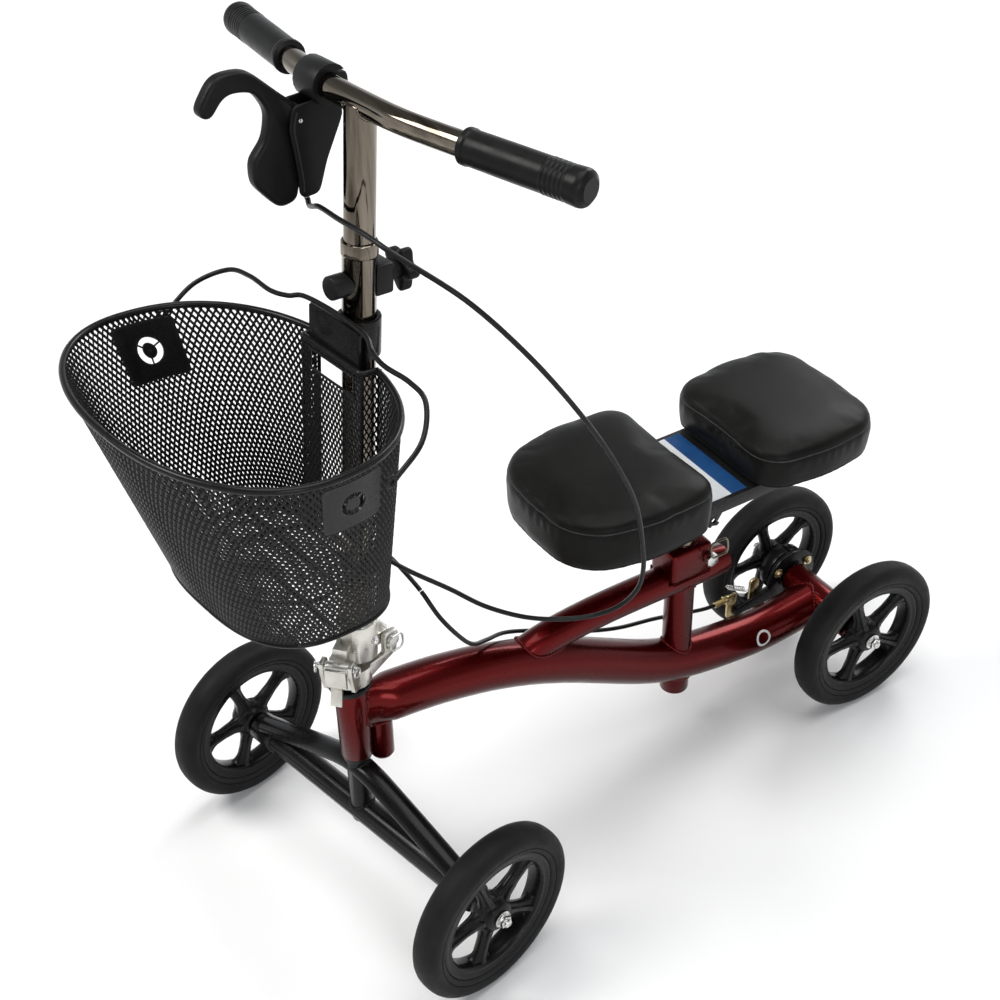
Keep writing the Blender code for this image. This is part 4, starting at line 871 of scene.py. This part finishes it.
def bar_line(start, end, count=24):
    return [Vector((x, bow(x), BAR_H)) for x in np.linspace(start, end, count)]


def tiller():
    top = 0.4506
    profile = [
        (0.0148, -0.0027), (0.0156, -0.0027), (0.0159, -0.0022), (0.0159, top - 0.0142),
        (0.0164, top - 0.013), (0.0169, top - 0.0122), (0.0169, top - 0.0014), (0.0165, top - 0.0004),
        (0.0158, top), (0.0148, top)]
    piece("stem_outer", *lathe(profile, 56), CHROME, "tiller", TILLER, 25, ("stem_tube",))
    route = smooth_path(
        [(x, bow(x), BAR_H) for x in (-0.238, -0.18, -0.13, -0.09, -0.05, 0, 0.05, 0.09, 0.13, 0.18, 0.238)],
        8)
    bar = union(
        sweep(route, BAR_RADIUS, 36, up=(0, 0, 1)),
        rod((0, 0, 0.2), (0, 0, BAR_H), UPRIGHT_RADIUS, 0.0008, 44))
    made = piece("handlebar_tube", *bar, CHROME, "handlebar", TILLER, 30, ("handlebar",))
    made.data.materials.append(CHROME_BAR)
    level = TILLER.inverted()
    for face in made.data.polygons:
        face.material_index = int((level @ face.center).z > BAR_H - 0.0118)
    bead = weld(
        straight((0, 0, BAR_H), (0, 0, BAR_H - 0.03), 40), UPRIGHT_RADIUS, route, BAR_RADIUS, 0.0014,
        last=True)
    piece("bar_weld", *bead, CHROME, "handlebar", TILLER, 60)
    for label, side in (("left", 1), ("right", -1)):
        line = bar_line(side * 0.123, side * 0.238, 260)
        out = (line[-1] - line[-2]).normalized()
        line += [line[-1] + out * d for d in (0.0015, 0.003, 0.0045, 0.0056, 0.006)]
        far, radii = 0.0, []
        for i, p in enumerate(line):
            if i:
                far += (p - line[i - 1]).length
            if far < 0.0072:
                r = float(np.interp(far, [0, 0.0008, 0.005, 0.0072], [0.0148, 0.0157, 0.0157, 0.015]))
            else:
                r = 0.0149 + 0.0003 * sin(pi * far / 0.12)
                if 0.082 < far < 0.104:
                    r += 0.00045 * (0.5 - 0.5 * cos((far - 0.082) / 0.0044 * 2 * pi))
                if far > 0.104:
                    r = float(np.interp(far, [0.104, 0.106, 0.115, 0.118, 0.12, 0.1212, 0.122],
                                        [0.015, 0.0156, 0.016, 0.0156, 0.0144, 0.0128, 0.01]))
            radii.append(r)
        sleeve = sweep(line, radii, 36, up=(0, 0, 1))
        piece("grip_sleeve_" + label, *sleeve, GRIP, "handlebar", TILLER, 50, ("grip_" + label,))


tiller()
LEVER = Vector((-0.062, -0.026, BAR_H - 0.027))


def softened(corners, count, rounds):
    """A closed outline at even steps, relaxed into flowing curves."""
    loop = spread(np.array([tuple(p) for p in outline_arc(corners, 0.004, 6)]), count)
    for _ in range(rounds):
        loop = (np.roll(loop, 1, 0) + 2 * loop + np.roll(loop, -1, 0)) / 4
    return [Vector(p) for p in loop]


def brake_lever():
    """Hook over the fingers, round root and lower lobe in one flowing plate."""
    outline = softened(
        mm((4, 10, 3), (-18, 27, 10), (-47, 51, 23), (-79, 51, 18), (-98.5, 20, 6), (-83.5, 13, 4),
        (-70, 34, 15), (-41.5, 31, 15), (-27, 10, 13), (-30.5, -14, 10), (-45, -30, 4), (-44, -52, 8),
        (-18, -79, 6), (1, -75, 4), (4, -48, 10), (-4, -16, 4)), 220, 14)
    plate = slab(outline, 0.014, 0.0042, 5, SIDE)
    root = rod((-0.007, 0, 0), (0.007, 0, 0), 0.0115, 0.0012, 40)
    made = Shape().add(*union(plate, root))
    made.made(
        "brake_lever_hook", PLASTIC, "brake_lever", TILLER @ Matrix.Translation(LEVER), 40, ("brake_lever",))


def lever_shell():
    """Moulded cheeks either side of the lever's root and web, with a bright parting edge behind."""
    made = Shape()
    shell = softened(
        mm((6, -10), (-34, -14), (-37, -34), (-32, -56), (-27.5, -80), (-26.5, -98.5), (-6, -97), (2, -68),
        (18, -31), (16.5, -12)), 150, 10)
    for side in (1, -1):
        place = shifted(LEVER.x + side * 0.0103, 0, BAR_H) @ SIDE
        made.add(*slab(shell, 0.0032, 0.001, 3, place))
    ridge = smooth_path(
        mm((0, -30, -19), (0, -32.5, -34), (0, -28.5, -56), (0, -24.2, -79), (0, -23.2, -92.5)), 8)
    for side in (1, -1):
        shift = Vector((LEVER.x + side * 0.0118, 0, BAR_H))
        made.add(*sweep([p + shift for p in ridge], 0.001, 8))
    made.made("lever_shell", PLASTIC, "handlebar", TILLER, 40)


refined("lever_housing", PLASTIC, "handlebar", 0.0016, 3)
brake_lever()
lever_shell()
refined("lever_pin", STEEL, "handlebar", 0.0004)
refined("cable_ferrule", CAST, "handlebar", 0.0005)
refined("knob_saddle", PLASTIC, "tiller", 0.0016, 3)
refined("knob_front_cap", PLASTIC, "tiller", 0.0024, 3)
refined("basket_bracket", BLACK, "tiller", 0.0007)
refined("cable_clip", PLASTIC, "tiller", 0.0004)


def knob():
    """Five rounded lobes with a hub and a screw end."""
    outline = []
    for k in range(120):
        a = 2 * pi * k / 120
        r = 0.0178 + 0.0036 * cos(5 * a)
        outline.append((r * cos(a), r * sin(a)))
    made = Shape()
    made.add(*slab(outline, 0.013, 0.0036, 4, shifted(0, 0.0465, KNOB_H) @ FRONT))
    made.add(*rod((0, 0.03, KNOB_H), (0, 0.042, KNOB_H), 0.0092, 0.0008, 32))
    made.add(*rod((0, 0.052, KNOB_H), (0, 0.0532, KNOB_H), 0.007, 0.0004, 28))
    made.add(*rod((0, 0.015, KNOB_H), (0, 0.032, KNOB_H), 0.0032, 0.0003, 20))
    made.made("height_knob_star", PLASTIC, "height_knob", TILLER, 35, ("height_knob",))


knob()

# ---------------------------------------------------------------- clamp and headset
refined("fold_clamp_base", CAST, "steering", 0.0008)
refined("fold_clamp_top", CAST, "tiller", 0.0008)
refined("fold_lever", CAST, "fold_lever", 0.0006)
refined("fold_pin", STEEL, "steering", 0.0005)
refined("latch_pin", STEEL, "steering", 0.0004)
refined("headset_cap", PLASTIC, "steering", 0.0008, 3)
refined("headset_lower_cup", BLACK, "frame", 0.0005)
refined("headset_upper_cup", PLASTIC, "frame", 0.0006)


def clamp_details():
    low = Shape()
    latch = spun(radians(32), "Z")
    for side in (1, -1):
        face = latch @ shifted(side * 0.0172, -0.029, 0.34) @ spun(side * pi / 2, "Y")
        low.add(*bolt_head(face, 0.0036, 0.0026, 0.0052))
        eye = [
            latch @ Vector((side * 0.0222 + side * 0.0012 * cos(a), -0.029 + 0.005 * cos(a) - 0.004,
                            0.34 + 0.005 * sin(a)))
            for a in np.linspace(0, 2 * pi, 22)[:-1]]
        low.add(*sweep(eye, 0.0009, 8, True))
    loop = outline_arc(mm((-13, 0), (13, 0), (13, 19), (-13, 19)), 0.007, 5)
    ring = smooth_path([(0.0225, 0.048 + 0.65 * p[0], 0.34 - p[1]) for p in loop], 3, True)
    low.add(*sweep(ring, 0.0013, 10, True))
    low.made("clamp_bolts", STEEL, "steering", FORK, 30)
    high = Shape()
    high.add(*pipe((0, 0, 0.0345), (0, 0, 0.0375), 0.019, 0.01625, 0.0006, 48))
    for side in (1, -1):
        face = shifted(side * 0.0205, 0.004, 0.016) @ spun(side * pi / 2, "Y")
        high.add(*bolt_head(face, 0.004, 0.0034, 0.0056))
    high.made("clamp_collar", STEEL, "tiller", STEM, 30)


clamp_details()


# ---------------------------------------------------------------- basket
def plan(half_width, middle, front, bulge, steps=64):
    last = acos((0.047 / half_width) ** (bulge / 2))
    half = []
    for k in range(steps + 1):
        turn = (last + pi / 2) * k / steps - pi / 2
        depth = -0.011 - middle if turn > 0 else front - middle
        half.append(
            (half_width * max(cos(turn), 0) ** (2 / bulge), middle + depth * abs(sin(turn)) ** (2 / bulge)))
    for k in range(1, 7):
        half.append((0.047 - 0.002 * k / 6, -0.011 - 0.019 * k / 6))
    for k in range(1, 16):
        half.append((0.045 * (1 - k / 16), -0.03))
    return half


LOW_HALF, HIGH_HALF = plan(0.111, -0.09, -0.175, 2.8), plan(0.1705, -0.144, -0.26, 2.2)


def whole(half):
    return np.array(half[1:] + [(0.0, -0.03)] + [(-x, y) for x, y in reversed(half[1:])] + [half[0]])


LOW, HIGH = whole(LOW_HALF), whole(HIGH_HALF)
AROUND = np.concatenate(
    [[0], np.cumsum(np.linalg.norm(np.diff(np.vstack([LOW + HIGH, (LOW + HIGH)[:1]]), axis=0), axis=1))])
AROUND /= AROUND[-1]
WALL_LOW, WALL_HIGH = 0.13, 0.346


def wall(u, v, lift=0.0):
    """A point of the basket's wall: u once round, v from its base to its rim."""
    u = np.mod(u, 1.0)
    v = np.asarray(v, float)
    low = np.stack([np.interp(u, AROUND, np.append(LOW[:, k], LOW[0, k])) for k in (0, 1)], -1)
    high = np.stack([np.interp(u, AROUND, np.append(HIGH[:, k], HIGH[0, k])) for k in (0, 1)], -1)
    flat = low + (high - low) * v[..., None]
    height = WALL_LOW + (WALL_HIGH - WALL_LOW) * v + lift
    return np.concatenate([flat, np.broadcast_to(height, v.shape)[..., None]], -1)


PLATES = (0.738, 0.238)
PLATE_HALF, PLATE_V, PLATE_TALL = 0.034, 0.825, 0.125


def windowed(p, u, v):
    if abs(p[0]) < 0.034 and p[1] > -0.045 and (0.318 < p[2] < 0.338 or 0.15 < p[2] < 0.172):
        return True
    return any(abs(u % 1 - at) < PLATE_HALF and abs(v - PLATE_V) < PLATE_TALL for at in PLATES)


def thread(shape, path, radius):
    """A flat four-sided strand of the net, wider along the wall than through it."""
    if len(path) < 2:
        return
    pts = np.array(path)
    tangent = np.gradient(pts, axis=0)
    tangent /= np.linalg.norm(tangent, axis=1)[:, None] + 1e-12
    centre = np.array([0, -0.12, 0.24])
    out = pts - centre
    out[:, 2] *= 0.2
    out -= tangent * (out * tangent).sum(1)[:, None]
    out /= np.linalg.norm(out, axis=1)[:, None] + 1e-12
    side = np.cross(tangent, out)
    base = len(shape.verts)
    for p, o, s in zip(pts, out, side):
        o, s = o * radius * 0.65, s * radius
        shape.verts += [Vector(p + o), Vector(p + s), Vector(p - o), Vector(p - s)]
    for i in range(len(pts) - 1):
        a = base + i * 4
        for q in range(4):
            shape.faces.append((a + q, a + (q + 1) % 4, a + 4 + (q + 1) % 4, a + 4 + q))
    end = base + (len(pts) - 1) * 4
    shape.faces += [(base, base + 3, base + 2, base + 1), (end, end + 1, end + 2, end + 3)]


def badge(at):
    """Square plate let into the net, with a plain ring-shaped opening."""
    round_trip = 0.95

    def on_wall(x, y, lift):
        p = wall(np.array([at + x / round_trip]), np.array([PLATE_V + y / 0.233]))[0]
        q = wall(np.array([at + (x + 0.001) / round_trip]), np.array([PLATE_V + y / 0.233]))[0]
        out = np.cross(q - p, UPWARDS)
        return Vector(p + out / np.linalg.norm(out) * lift)

    verts, faces = [], []
    square = outline_arc(mm((-34, -30.5), (34, -30.5), (34, 30.5), (-34, 30.5)), 0.005, 6)
    edge = spread(np.array([tuple(p) for p in square]), 96)
    turns = np.arctan2(edge[:, 1], edge[:, 0])
    for inner, outer in ((0.0145, None), (0.0, 0.008)):
        base, layers = len(verts), 7
        for lift in (0.0009, -0.0009):
            for i in range(layers):
                t = i / (layers - 1)
                for k, a in enumerate(turns):
                    far = edge[k] if outer is None else outer * np.array([cos(a), sin(a)])
                    near = inner * np.array([cos(a), sin(a)])
                    x, y = near + (far - near) * t
                    verts.append(on_wall(x, y, lift))
        n, half = len(turns), layers * len(turns)
        for k in range(n):
            m = (k + 1) % n
            for i in range(layers - 1):
                a, b = base + i * n, base + (i + 1) * n
                faces.append((a + k, b + k, b + m, a + m))
                faces.append((half + a + m, half + b + m, half + b + k, half + a + k))
            last, first = base + (layers - 1) * n, base
            faces.append((last + k, half + last + k, half + last + m, last + m))
            if inner:
                faces.append((first + m, half + first + m, half + first + k, first + k))
    for turn in (0.6, 0.6 + 2 * pi / 3, 0.6 + 4 * pi / 3):
        line = [on_wall(r * cos(turn), r * sin(turn), 0) for r in np.linspace(0.007, 0.0155, 6)]
        bar = sweep(line, 0.0009, 8)
        base = len(verts)
        verts += bar[0]
        faces += [tuple(base + i for i in f) for f in bar[1]]
    return verts, faces


UPWARDS = np.array([0, 0, 1.0])


def basket():
    """Net of flat strands leaning both ways, its floor, the rim and frame wires and the two plates."""
    mesh = Shape()
    count, lean, rows = 154, 21.5, 86
    strand, floor_strand, floor_pitch, weave = 0.0013, 0.0011, 0.0052, 0.0003
    for way in (1, -1):
        for k in range(count):
            v = np.linspace(0, 1, rows + 1)
            u = k / count + way * v * lean / count
            run = []
            for step, p in enumerate(wall(u, v)):
                if windowed(p, u[step], v[step]):
                    thread(mesh, run, strand)
                    run = []
                else:
                    away = np.array([p[0], p[1] + 0.12, 0])
                    run.append(p + away / (np.linalg.norm(away) + 1e-9) * weave * way * cos(pi * step / 2))
            thread(mesh, run, strand)
    for way in (1, -1):
        normal = np.array([1, way]) / 2 ** 0.5
        along = np.array([-way, 1]) / 2 ** 0.5
        reach = LOW @ normal
        for d in np.arange(reach.min() + 0.002, reach.max(), floor_pitch):
            hits = []
            for a, b in zip(LOW, np.roll(LOW, -1, 0)):
                da, db = a @ normal - d, b @ normal - d
                if (da <= 0 < db) or (db <= 0 < da):
                    hits.append((a + (b - a) * da / (da - db)) @ along)
            hits.sort()
            for s, e in zip(hits[::2], hits[1::2]):
                pts = [
                    np.append(normal * d + along * t, WALL_LOW + weave * way) for t in np.linspace(s, e, 5)]
                thread(mesh, pts, floor_strand)
    mesh.made("basket_mesh", WIRE, "basket", TILLER, 80, ("basket",))
    wires = Shape()
    every = np.linspace(0, 1, 241)[:-1]
    wires.add(*sweep([Vector(p) for p in wall(every, np.ones(240))], 0.0034, 14, True))
    wires.add(*sweep([Vector(p) for p in wall(every, np.zeros(240))], 0.0024, 12, True))
    for low_z, high_z in ((0.318, 0.338), (0.15, 0.172)):
        corners = outline_arc([(-0.034, low_z), (0.034, low_z), (0.034, high_z), (-0.034, high_z)], 0.003, 3)
        frame_wire = smooth_path([(p[0], -0.03, p[1]) for p in corners], 3, True)
        wires.add(*sweep(frame_wire, 0.0013, 8, True))
    for x in (-0.0455, 0.0455):
        wires.add(*sweep(straight((x, -0.0295, WALL_LOW), (x, -0.0295, WALL_HIGH), 12), 0.0018, 10))
        wires.add(
            *sweep(straight((x * 1.03, -0.0112, WALL_LOW), (x * 1.03, -0.0112, WALL_HIGH), 12), 0.0018, 10))
    for y in (-0.06, -0.1, -0.14):
        wires.add(
            *sweep(straight((-0.104, y, WALL_LOW + 0.0022), (0.104, y, WALL_LOW + 0.0022), 12), 0.0017, 10))
    arc = smooth_path(
        [(-0.05, -0.03, WALL_LOW + 0.004), (-0.058, -0.1, WALL_LOW + 0.005), (0, -0.15, WALL_LOW + 0.005),
        (0.058, -0.1, WALL_LOW + 0.005), (0.05, -0.03, WALL_LOW + 0.004)], 10)
    wires.add(*sweep(arc, 0.0017, 10))
    wires.made("basket_wires", BLACK, "basket", TILLER, 60)
    plates = Shape()
    for at in PLATES:
        plates.add(*badge(at))
    plates.made("basket_plates", BLACK, "basket", TILLER, 40)


basket()
refined("basket_hook", BLACK, "basket", 0.0007)


def bail():
    half = [
        (0.0, 1.0), (0.046, 0.97), (0.064, 0.88), (0.087, 0.825), (0.122, 0.83), (0.151, 0.755),
        (0.1755, 0.43), (0.179, 0.0)]
    tilt, long = radians(38.6), 0.0886
    both = [(-x, r) for x, r in reversed(half[1:])] + half
    knots = [(x, -0.0945 + r * long * cos(tilt), 0.3308 + r * long * sin(tilt)) for x, r in both]
    made = Shape()
    made.add(*sweep(smooth_path(knots, 8), 0.0024, 14))
    for side in (1, -1):
        start = Vector((side * 0.179, -0.0945, 0.3308))
        eye = [
            start + Vector((0, 0.0042 * cos(a) - 0.0042, 0.0042 * sin(a)))
            for a in np.linspace(0, 2 * pi, 20)[:-1]]
        made.add(*sweep(eye, 0.002, 8, True))
    made.made("bail_wire", BLACK, "bail", TILLER, 60, ("basket_bail",))


bail()


# ---------------------------------------------------------------- knee pads
def pad_plan(corners, grow):
    grown_corners = [
        (x + (grow if x else 0), y + (grow if y > mid else -grow), r) for (x, y, r), mid in corners]
    half = outline_arc(grown_corners, 0.03, 8)
    right = [p for p in half if p.x > 1e-6]
    ends = [p for p in half if p.x <= 1e-6]
    loop = [ends[0], *right, ends[-1], *[Vector((-p.x, p.y)) for p in reversed(right)]]
    return np.array([tuple(p) for p in loop])


FRONT_PAD = [
    ((0.0, -0.102, 0), 0), ((0.082, -0.097, 0.062), 0), ((0.101, -0.01, 0.12), -0.01),
    ((0.096, 0.078, 0.028), 0), ((0.0, 0.08, 0), 0)]
REAR_PAD = [
    ((0.0, 0.144, 0), 0.23), ((0.09, 0.144, 0.038), 0.23), ((0.1, 0.225, 0.15), 0.225),
    ((0.091, 0.308, 0.046), 0.23), ((0.0, 0.313, 0), 0.23)]


def cushion(name, corners, node, low):
    loop = spread(pad_plan(corners, 0))
    centre = loop.mean(0)
    layers = [
        (0.93, low + 0.0002), (0.962, low + 0.002), (0.982, low + 0.0065), (0.995, low + 0.015), (1.0, 0.412),
        (1.0, 0.422), (0.99, 0.429), (0.965, 0.4335), (0.92, 0.4362), (0.8, 0.4384), (0.55, 0.4396),
        (0.25, 0.44)]
    verts, faces = [], []
    for size, z in layers:
        verts += [(*(centre + (p - centre) * size), z) for p in loop]
    n = len(loop)
    for i in range(len(layers) - 1):
        for k in range(n):
            m = (k + 1) % n
            faces.append((i * n + k, i * n + m, (i + 1) * n + m, (i + 1) * n + k))
    verts += [(*centre, 0.4401), (*centre, low + 0.0002)]
    faces += [
        ((len(layers) - 1) * n + k, (len(layers) - 1) * n + (k + 1) % n, len(verts) - 2) for k in range(n)]
    faces += [((k + 1) % n, k, len(verts) - 1) for k in range(n)]
    pad = piece(name, verts, faces, VINYL, None, SCOOTER, 180)
    remesh = pad.modifiers.new("voxel", "REMESH")
    remesh.mode, remesh.voxel_size, remesh.use_smooth_shade = "VOXEL", 0.005, True
    settle(pad)
    rest = np.array([v.co for v in pad.data.vertices])
    cloth = pad.modifiers.new("cloth", "CLOTH")
    cloth.settings.use_pressure = True
    cloth.settings.uniform_pressure_force = 4.0
    cloth.settings.effector_weights.gravity = 0
    cloth.settings.quality = 6
    cloth.settings.tension_stiffness = cloth.settings.compression_stiffness = 25
    cloth.settings.bending_stiffness = 0.6
    cloth.point_cache.frame_start, cloth.point_cache.frame_end = 1, 20
    for step in range(1, 21):
        SCENE.frame_set(step)
        bpy.context.view_layer.update()
    settle(pad)
    SCENE.frame_set(1)
    blown = np.array([v.co for v in pad.data.vertices])
    moved = blown - rest
    length = np.linalg.norm(moved, axis=1)
    cap = 0.006
    moved *= (cap * np.tanh(length / cap) / np.maximum(length, 1e-9))[:, None]
    base = np.clip((rest[:, 2] - low - 0.003) / 0.012, 0, 1)
    rest = rest + moved * base[:, None] * np.array([0.55, 0.55, 0.6])
    pad.data.vertices.foreach_set("co", rest.ravel().astype(np.float32))
    smooth = pad.modifiers.new("fine", "SUBSURF")
    smooth.levels = smooth.render_levels = 1
    settle(pad)
    pts = np.array([v.co for v in pad.data.vertices])
    middle = np.array([OX + centre[0], OY + centre[1]])
    flat = pts[:, :2] - middle
    reach = np.linalg.norm(flat, axis=1)
    side = np.clip((reach / reach.max() - 0.45) / 0.2, 0, 1)
    crease = np.exp(-((pts[:, 2] - 0.4268) / 0.0022) ** 2) * 0.0008 * side
    pts[:, :2] -= flat / np.maximum(reach, 1e-9)[:, None] * crease[:, None]
    angle = np.arctan2(flat[:, 1], flat[:, 0])
    under_seam = np.exp(-((pts[:, 2] - 0.419) / 0.006) ** 2) * side
    pucker = 0.00035 * np.sin(angle * 41 + 3 * np.sin(angle * 5)) * under_seam
    pts[:, :2] += flat / np.maximum(reach, 1e-9)[:, None] * pucker[:, None]
    pts[:, 2] = np.clip(pts[:, 2], low, None)
    pad.data.vertices.foreach_set("co", pts.ravel().astype(np.float32))
    pad.data.update()
    pad.data.shade_smooth()
    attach(pad, "seat")
    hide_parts(node)
    tree = BVHTree.FromPolygons([Vector(p) for p in pts], [tuple(f.vertices) for f in pad.data.polygons])
    for tag, height, size, sink in (("seam", 0.4268, 0.0008, 0.0003), ("hem", low + 0.0045, 0.0011, 0.0004)):
        path = []
        for k in range(180):
            a = 2 * pi * k / 180
            out = Vector((cos(a), sin(a), 0))
            start = Vector((*middle, height)) + out * 0.25
            hit = tree.ray_cast(start, -out)[0]
            path.append(hit - out * sink)
        stitch = sweep(path, [size * (1 + 0.1 * sin(i * 2.1)) for i in range(180)], 8, True)
        piece(f"{name}_{tag}", *stitch, THREAD if tag == "seam" else VINYL, "seat", None, 80)


def settle(made):
    """Bake a piece's modifiers into its mesh."""
    bpy.context.view_layer.update()
    graph = bpy.context.evaluated_depsgraph_get()
    data = bpy.data.meshes.new_from_object(made.evaluated_get(graph), depsgraph=graph)
    made.modifiers.clear()
    made.data = data


cushion("knee_pad_front", FRONT_PAD, "front_knee_pad", 0.3762)
cushion("knee_pad_rear", REAR_PAD, "rear_knee_pad", 0.3884)
refined("front_pad_board", PLASTIC, "seat", 0.0012)
refined("rear_pad_board", PLASTIC, "seat", 0.0012)
refined("seat_platform", BLACK, "seat", 0.0006)
refined("seat_lock_bolt", STEEL, "frame", 0.0005)
piece("seat_post_tube", *rod((0, 0.105, 0.1), (0, 0.105, 0.3785), 0.0142, 0.0006, 44), CHROME, "seat",
      SCOOTER, 30, ("seat_post",))


def deck_details():
    card = Shape()
    card.add(*block((-0.061, 0.0835, 0.387), (0.061, 0.1405, 0.3874), 0.00012, 1))
    card.made("deck_card", CARD, "seat", SCOOTER, 30)
    bolts = Shape()
    for x in (-0.045, 0.045):
        for y in (-0.045, 0.055, 0.17, 0.262):
            under = shifted(x, y, 0.384) @ spun(pi, "X")
            bolts.add(*bolt_head(under, 0.005, 0.0042, 0.0075))
    bolts.made("deck_bolts", ZINC, "seat", SCOOTER, 30)
    loop = Shape()
    handle = outline_arc(mm((-19, 0), (19, 0), (19, 19), (-19, 19)), 0.007, 4)
    ring = smooth_path(
        [(0.0345 - 0.16 * p[1], 0.105 + 0.028 + p[0] * 0.62, 0.276 + p[1]) for p in handle], 3, True)
    loop.add(*sweep(ring, 0.0014, 10, True))
    loop.made("lock_wire_loop", CHROME, "frame", SCOOTER, 60)


deck_details()

# ---------------------------------------------------------------- band brake
refined("brake_backing_plate", BLACK, "frame", 0.0008)
refined("brake_band", BLACK, "frame", 0.0003)
refined("brake_arm", ZINC, "brake_arm", 0.0006)
refined("brake_arm_bolt", STEEL, "frame", 0.0004)
refined("cable_adjuster", ZINC, "frame", 0.0005)
paint("brake_drum", PLASTIC)


def spring_and_bolts():
    base = shifted(0, REAR_Y, AXLE_Z)
    coil = []
    for k in range(140):
        t = k / 139
        a = t * 9 * 2 * pi
        coil.append((-0.06 + 0.0032 * cos(a), -0.093 + 0.03 * t, 0.012 - 0.018 * t + 0.0032 * sin(a)))
    wire = Shape()
    wire.add(*sweep([(-0.06, -0.096, 0.0145)] + coil + [(-0.06, -0.059, -0.0085)], 0.0006, 8))
    wire.made("brake_coil_spring", STEEL, "frame", SCOOTER @ base, 60, ("brake_spring",))
    bolts = Shape()
    for y, z in mm((24, 14), (-2, -28), (-24, 14)):
        bolts.add(*bolt_head(shifted(-0.0442, y, z) @ spun(pi / 2, "Y"), 0.0042, 0.0034, 0.0062))
    bolts.made("brake_plate_bolts", ZINC, "frame", SCOOTER @ base, 30)


spring_and_bolts()


# ---------------------------------------------------------------- brake cable
def tiller_point(x, y, z):
    return TILLER @ Vector((x, y, z))


def scooter_point(x, y, z):
    return SCOOTER @ Vector((x, y, z))


def cables():
    upper = [
        tiller_point(*p) for p in (
            (-0.062, -0.0123, BAR_H - 0.1038), (-0.0614, -0.0116, BAR_H - 0.1066),
            (-0.0555, -0.014, 0.4655), (-0.043, -0.019, 0.4705), (-0.0252, -0.024, 0.4775),
            (0.0114, -0.029, 0.4803), (0.0507, -0.03, 0.481), (0.0843, -0.024, 0.474))]
    upper += [
        scooter_point(*p) for p in mm((115, -235, 775), (135, -190, 718), (145, -145, 650), (148, -105, 580),
        (145, -75, 515), (140, -60, 455), (133, -52, 410), (124, -53, 376), (112, -70, 352), (96, -103, 343),
        (76, -148, 350), (58, -190, 372), (42, -225, 402))]
    upper += [tiller_point(*p) for p in mm((40.3, 37, 99.3), (21, 24, 108), (8.8, 22, 109.5))]
    below = [tiller_point(*p) for p in mm((8, 22, 109.5), (-8, 22, 109.5), (-28.9, 29.2, 106.6))]
    below += [
        scooter_point(*p) for p in mm((-52, -264, 420), (-48, -250, 400), (-30, -243, 390), (6, -238.5, 380))]
    knots = len(below)
    below += [
        scooter_point(*p) for p in mm((25.5, -229, 354), (27, -208, 318), (15, -185, 286), (-5, -156, 262),
        (-27, -118, 237), (-36, -70, 209), (-38, -10, 176), (-39, 45, 153), (-40, 102, 139), (-43, 150, 122),
        (-50, 185, 106), (-53, 205.8, 99.6))]
    per = 10
    fine = smooth_path(below, per)
    cut = (knots - 1) * per
    middle, lower = fine[:cut + 1], fine[cut:]
    lower[0] = lower[0] + (lower[1] - lower[0]).normalized() * 0.0012
    for name, route, a, b in (
            ("upper", smooth_path(upper, per), "handlebar", "tiller"),
            ("middle", middle, "tiller", "steering"),
            ("lower", lower, "steering", "frame")):
        jacket = sweep(route, 0.0025, 12)
        made = piece("cable_jacket_" + name, *jacket, JACKET, None, None, 60, ("brake_cable_" + name,))
        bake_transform(made)


cables()
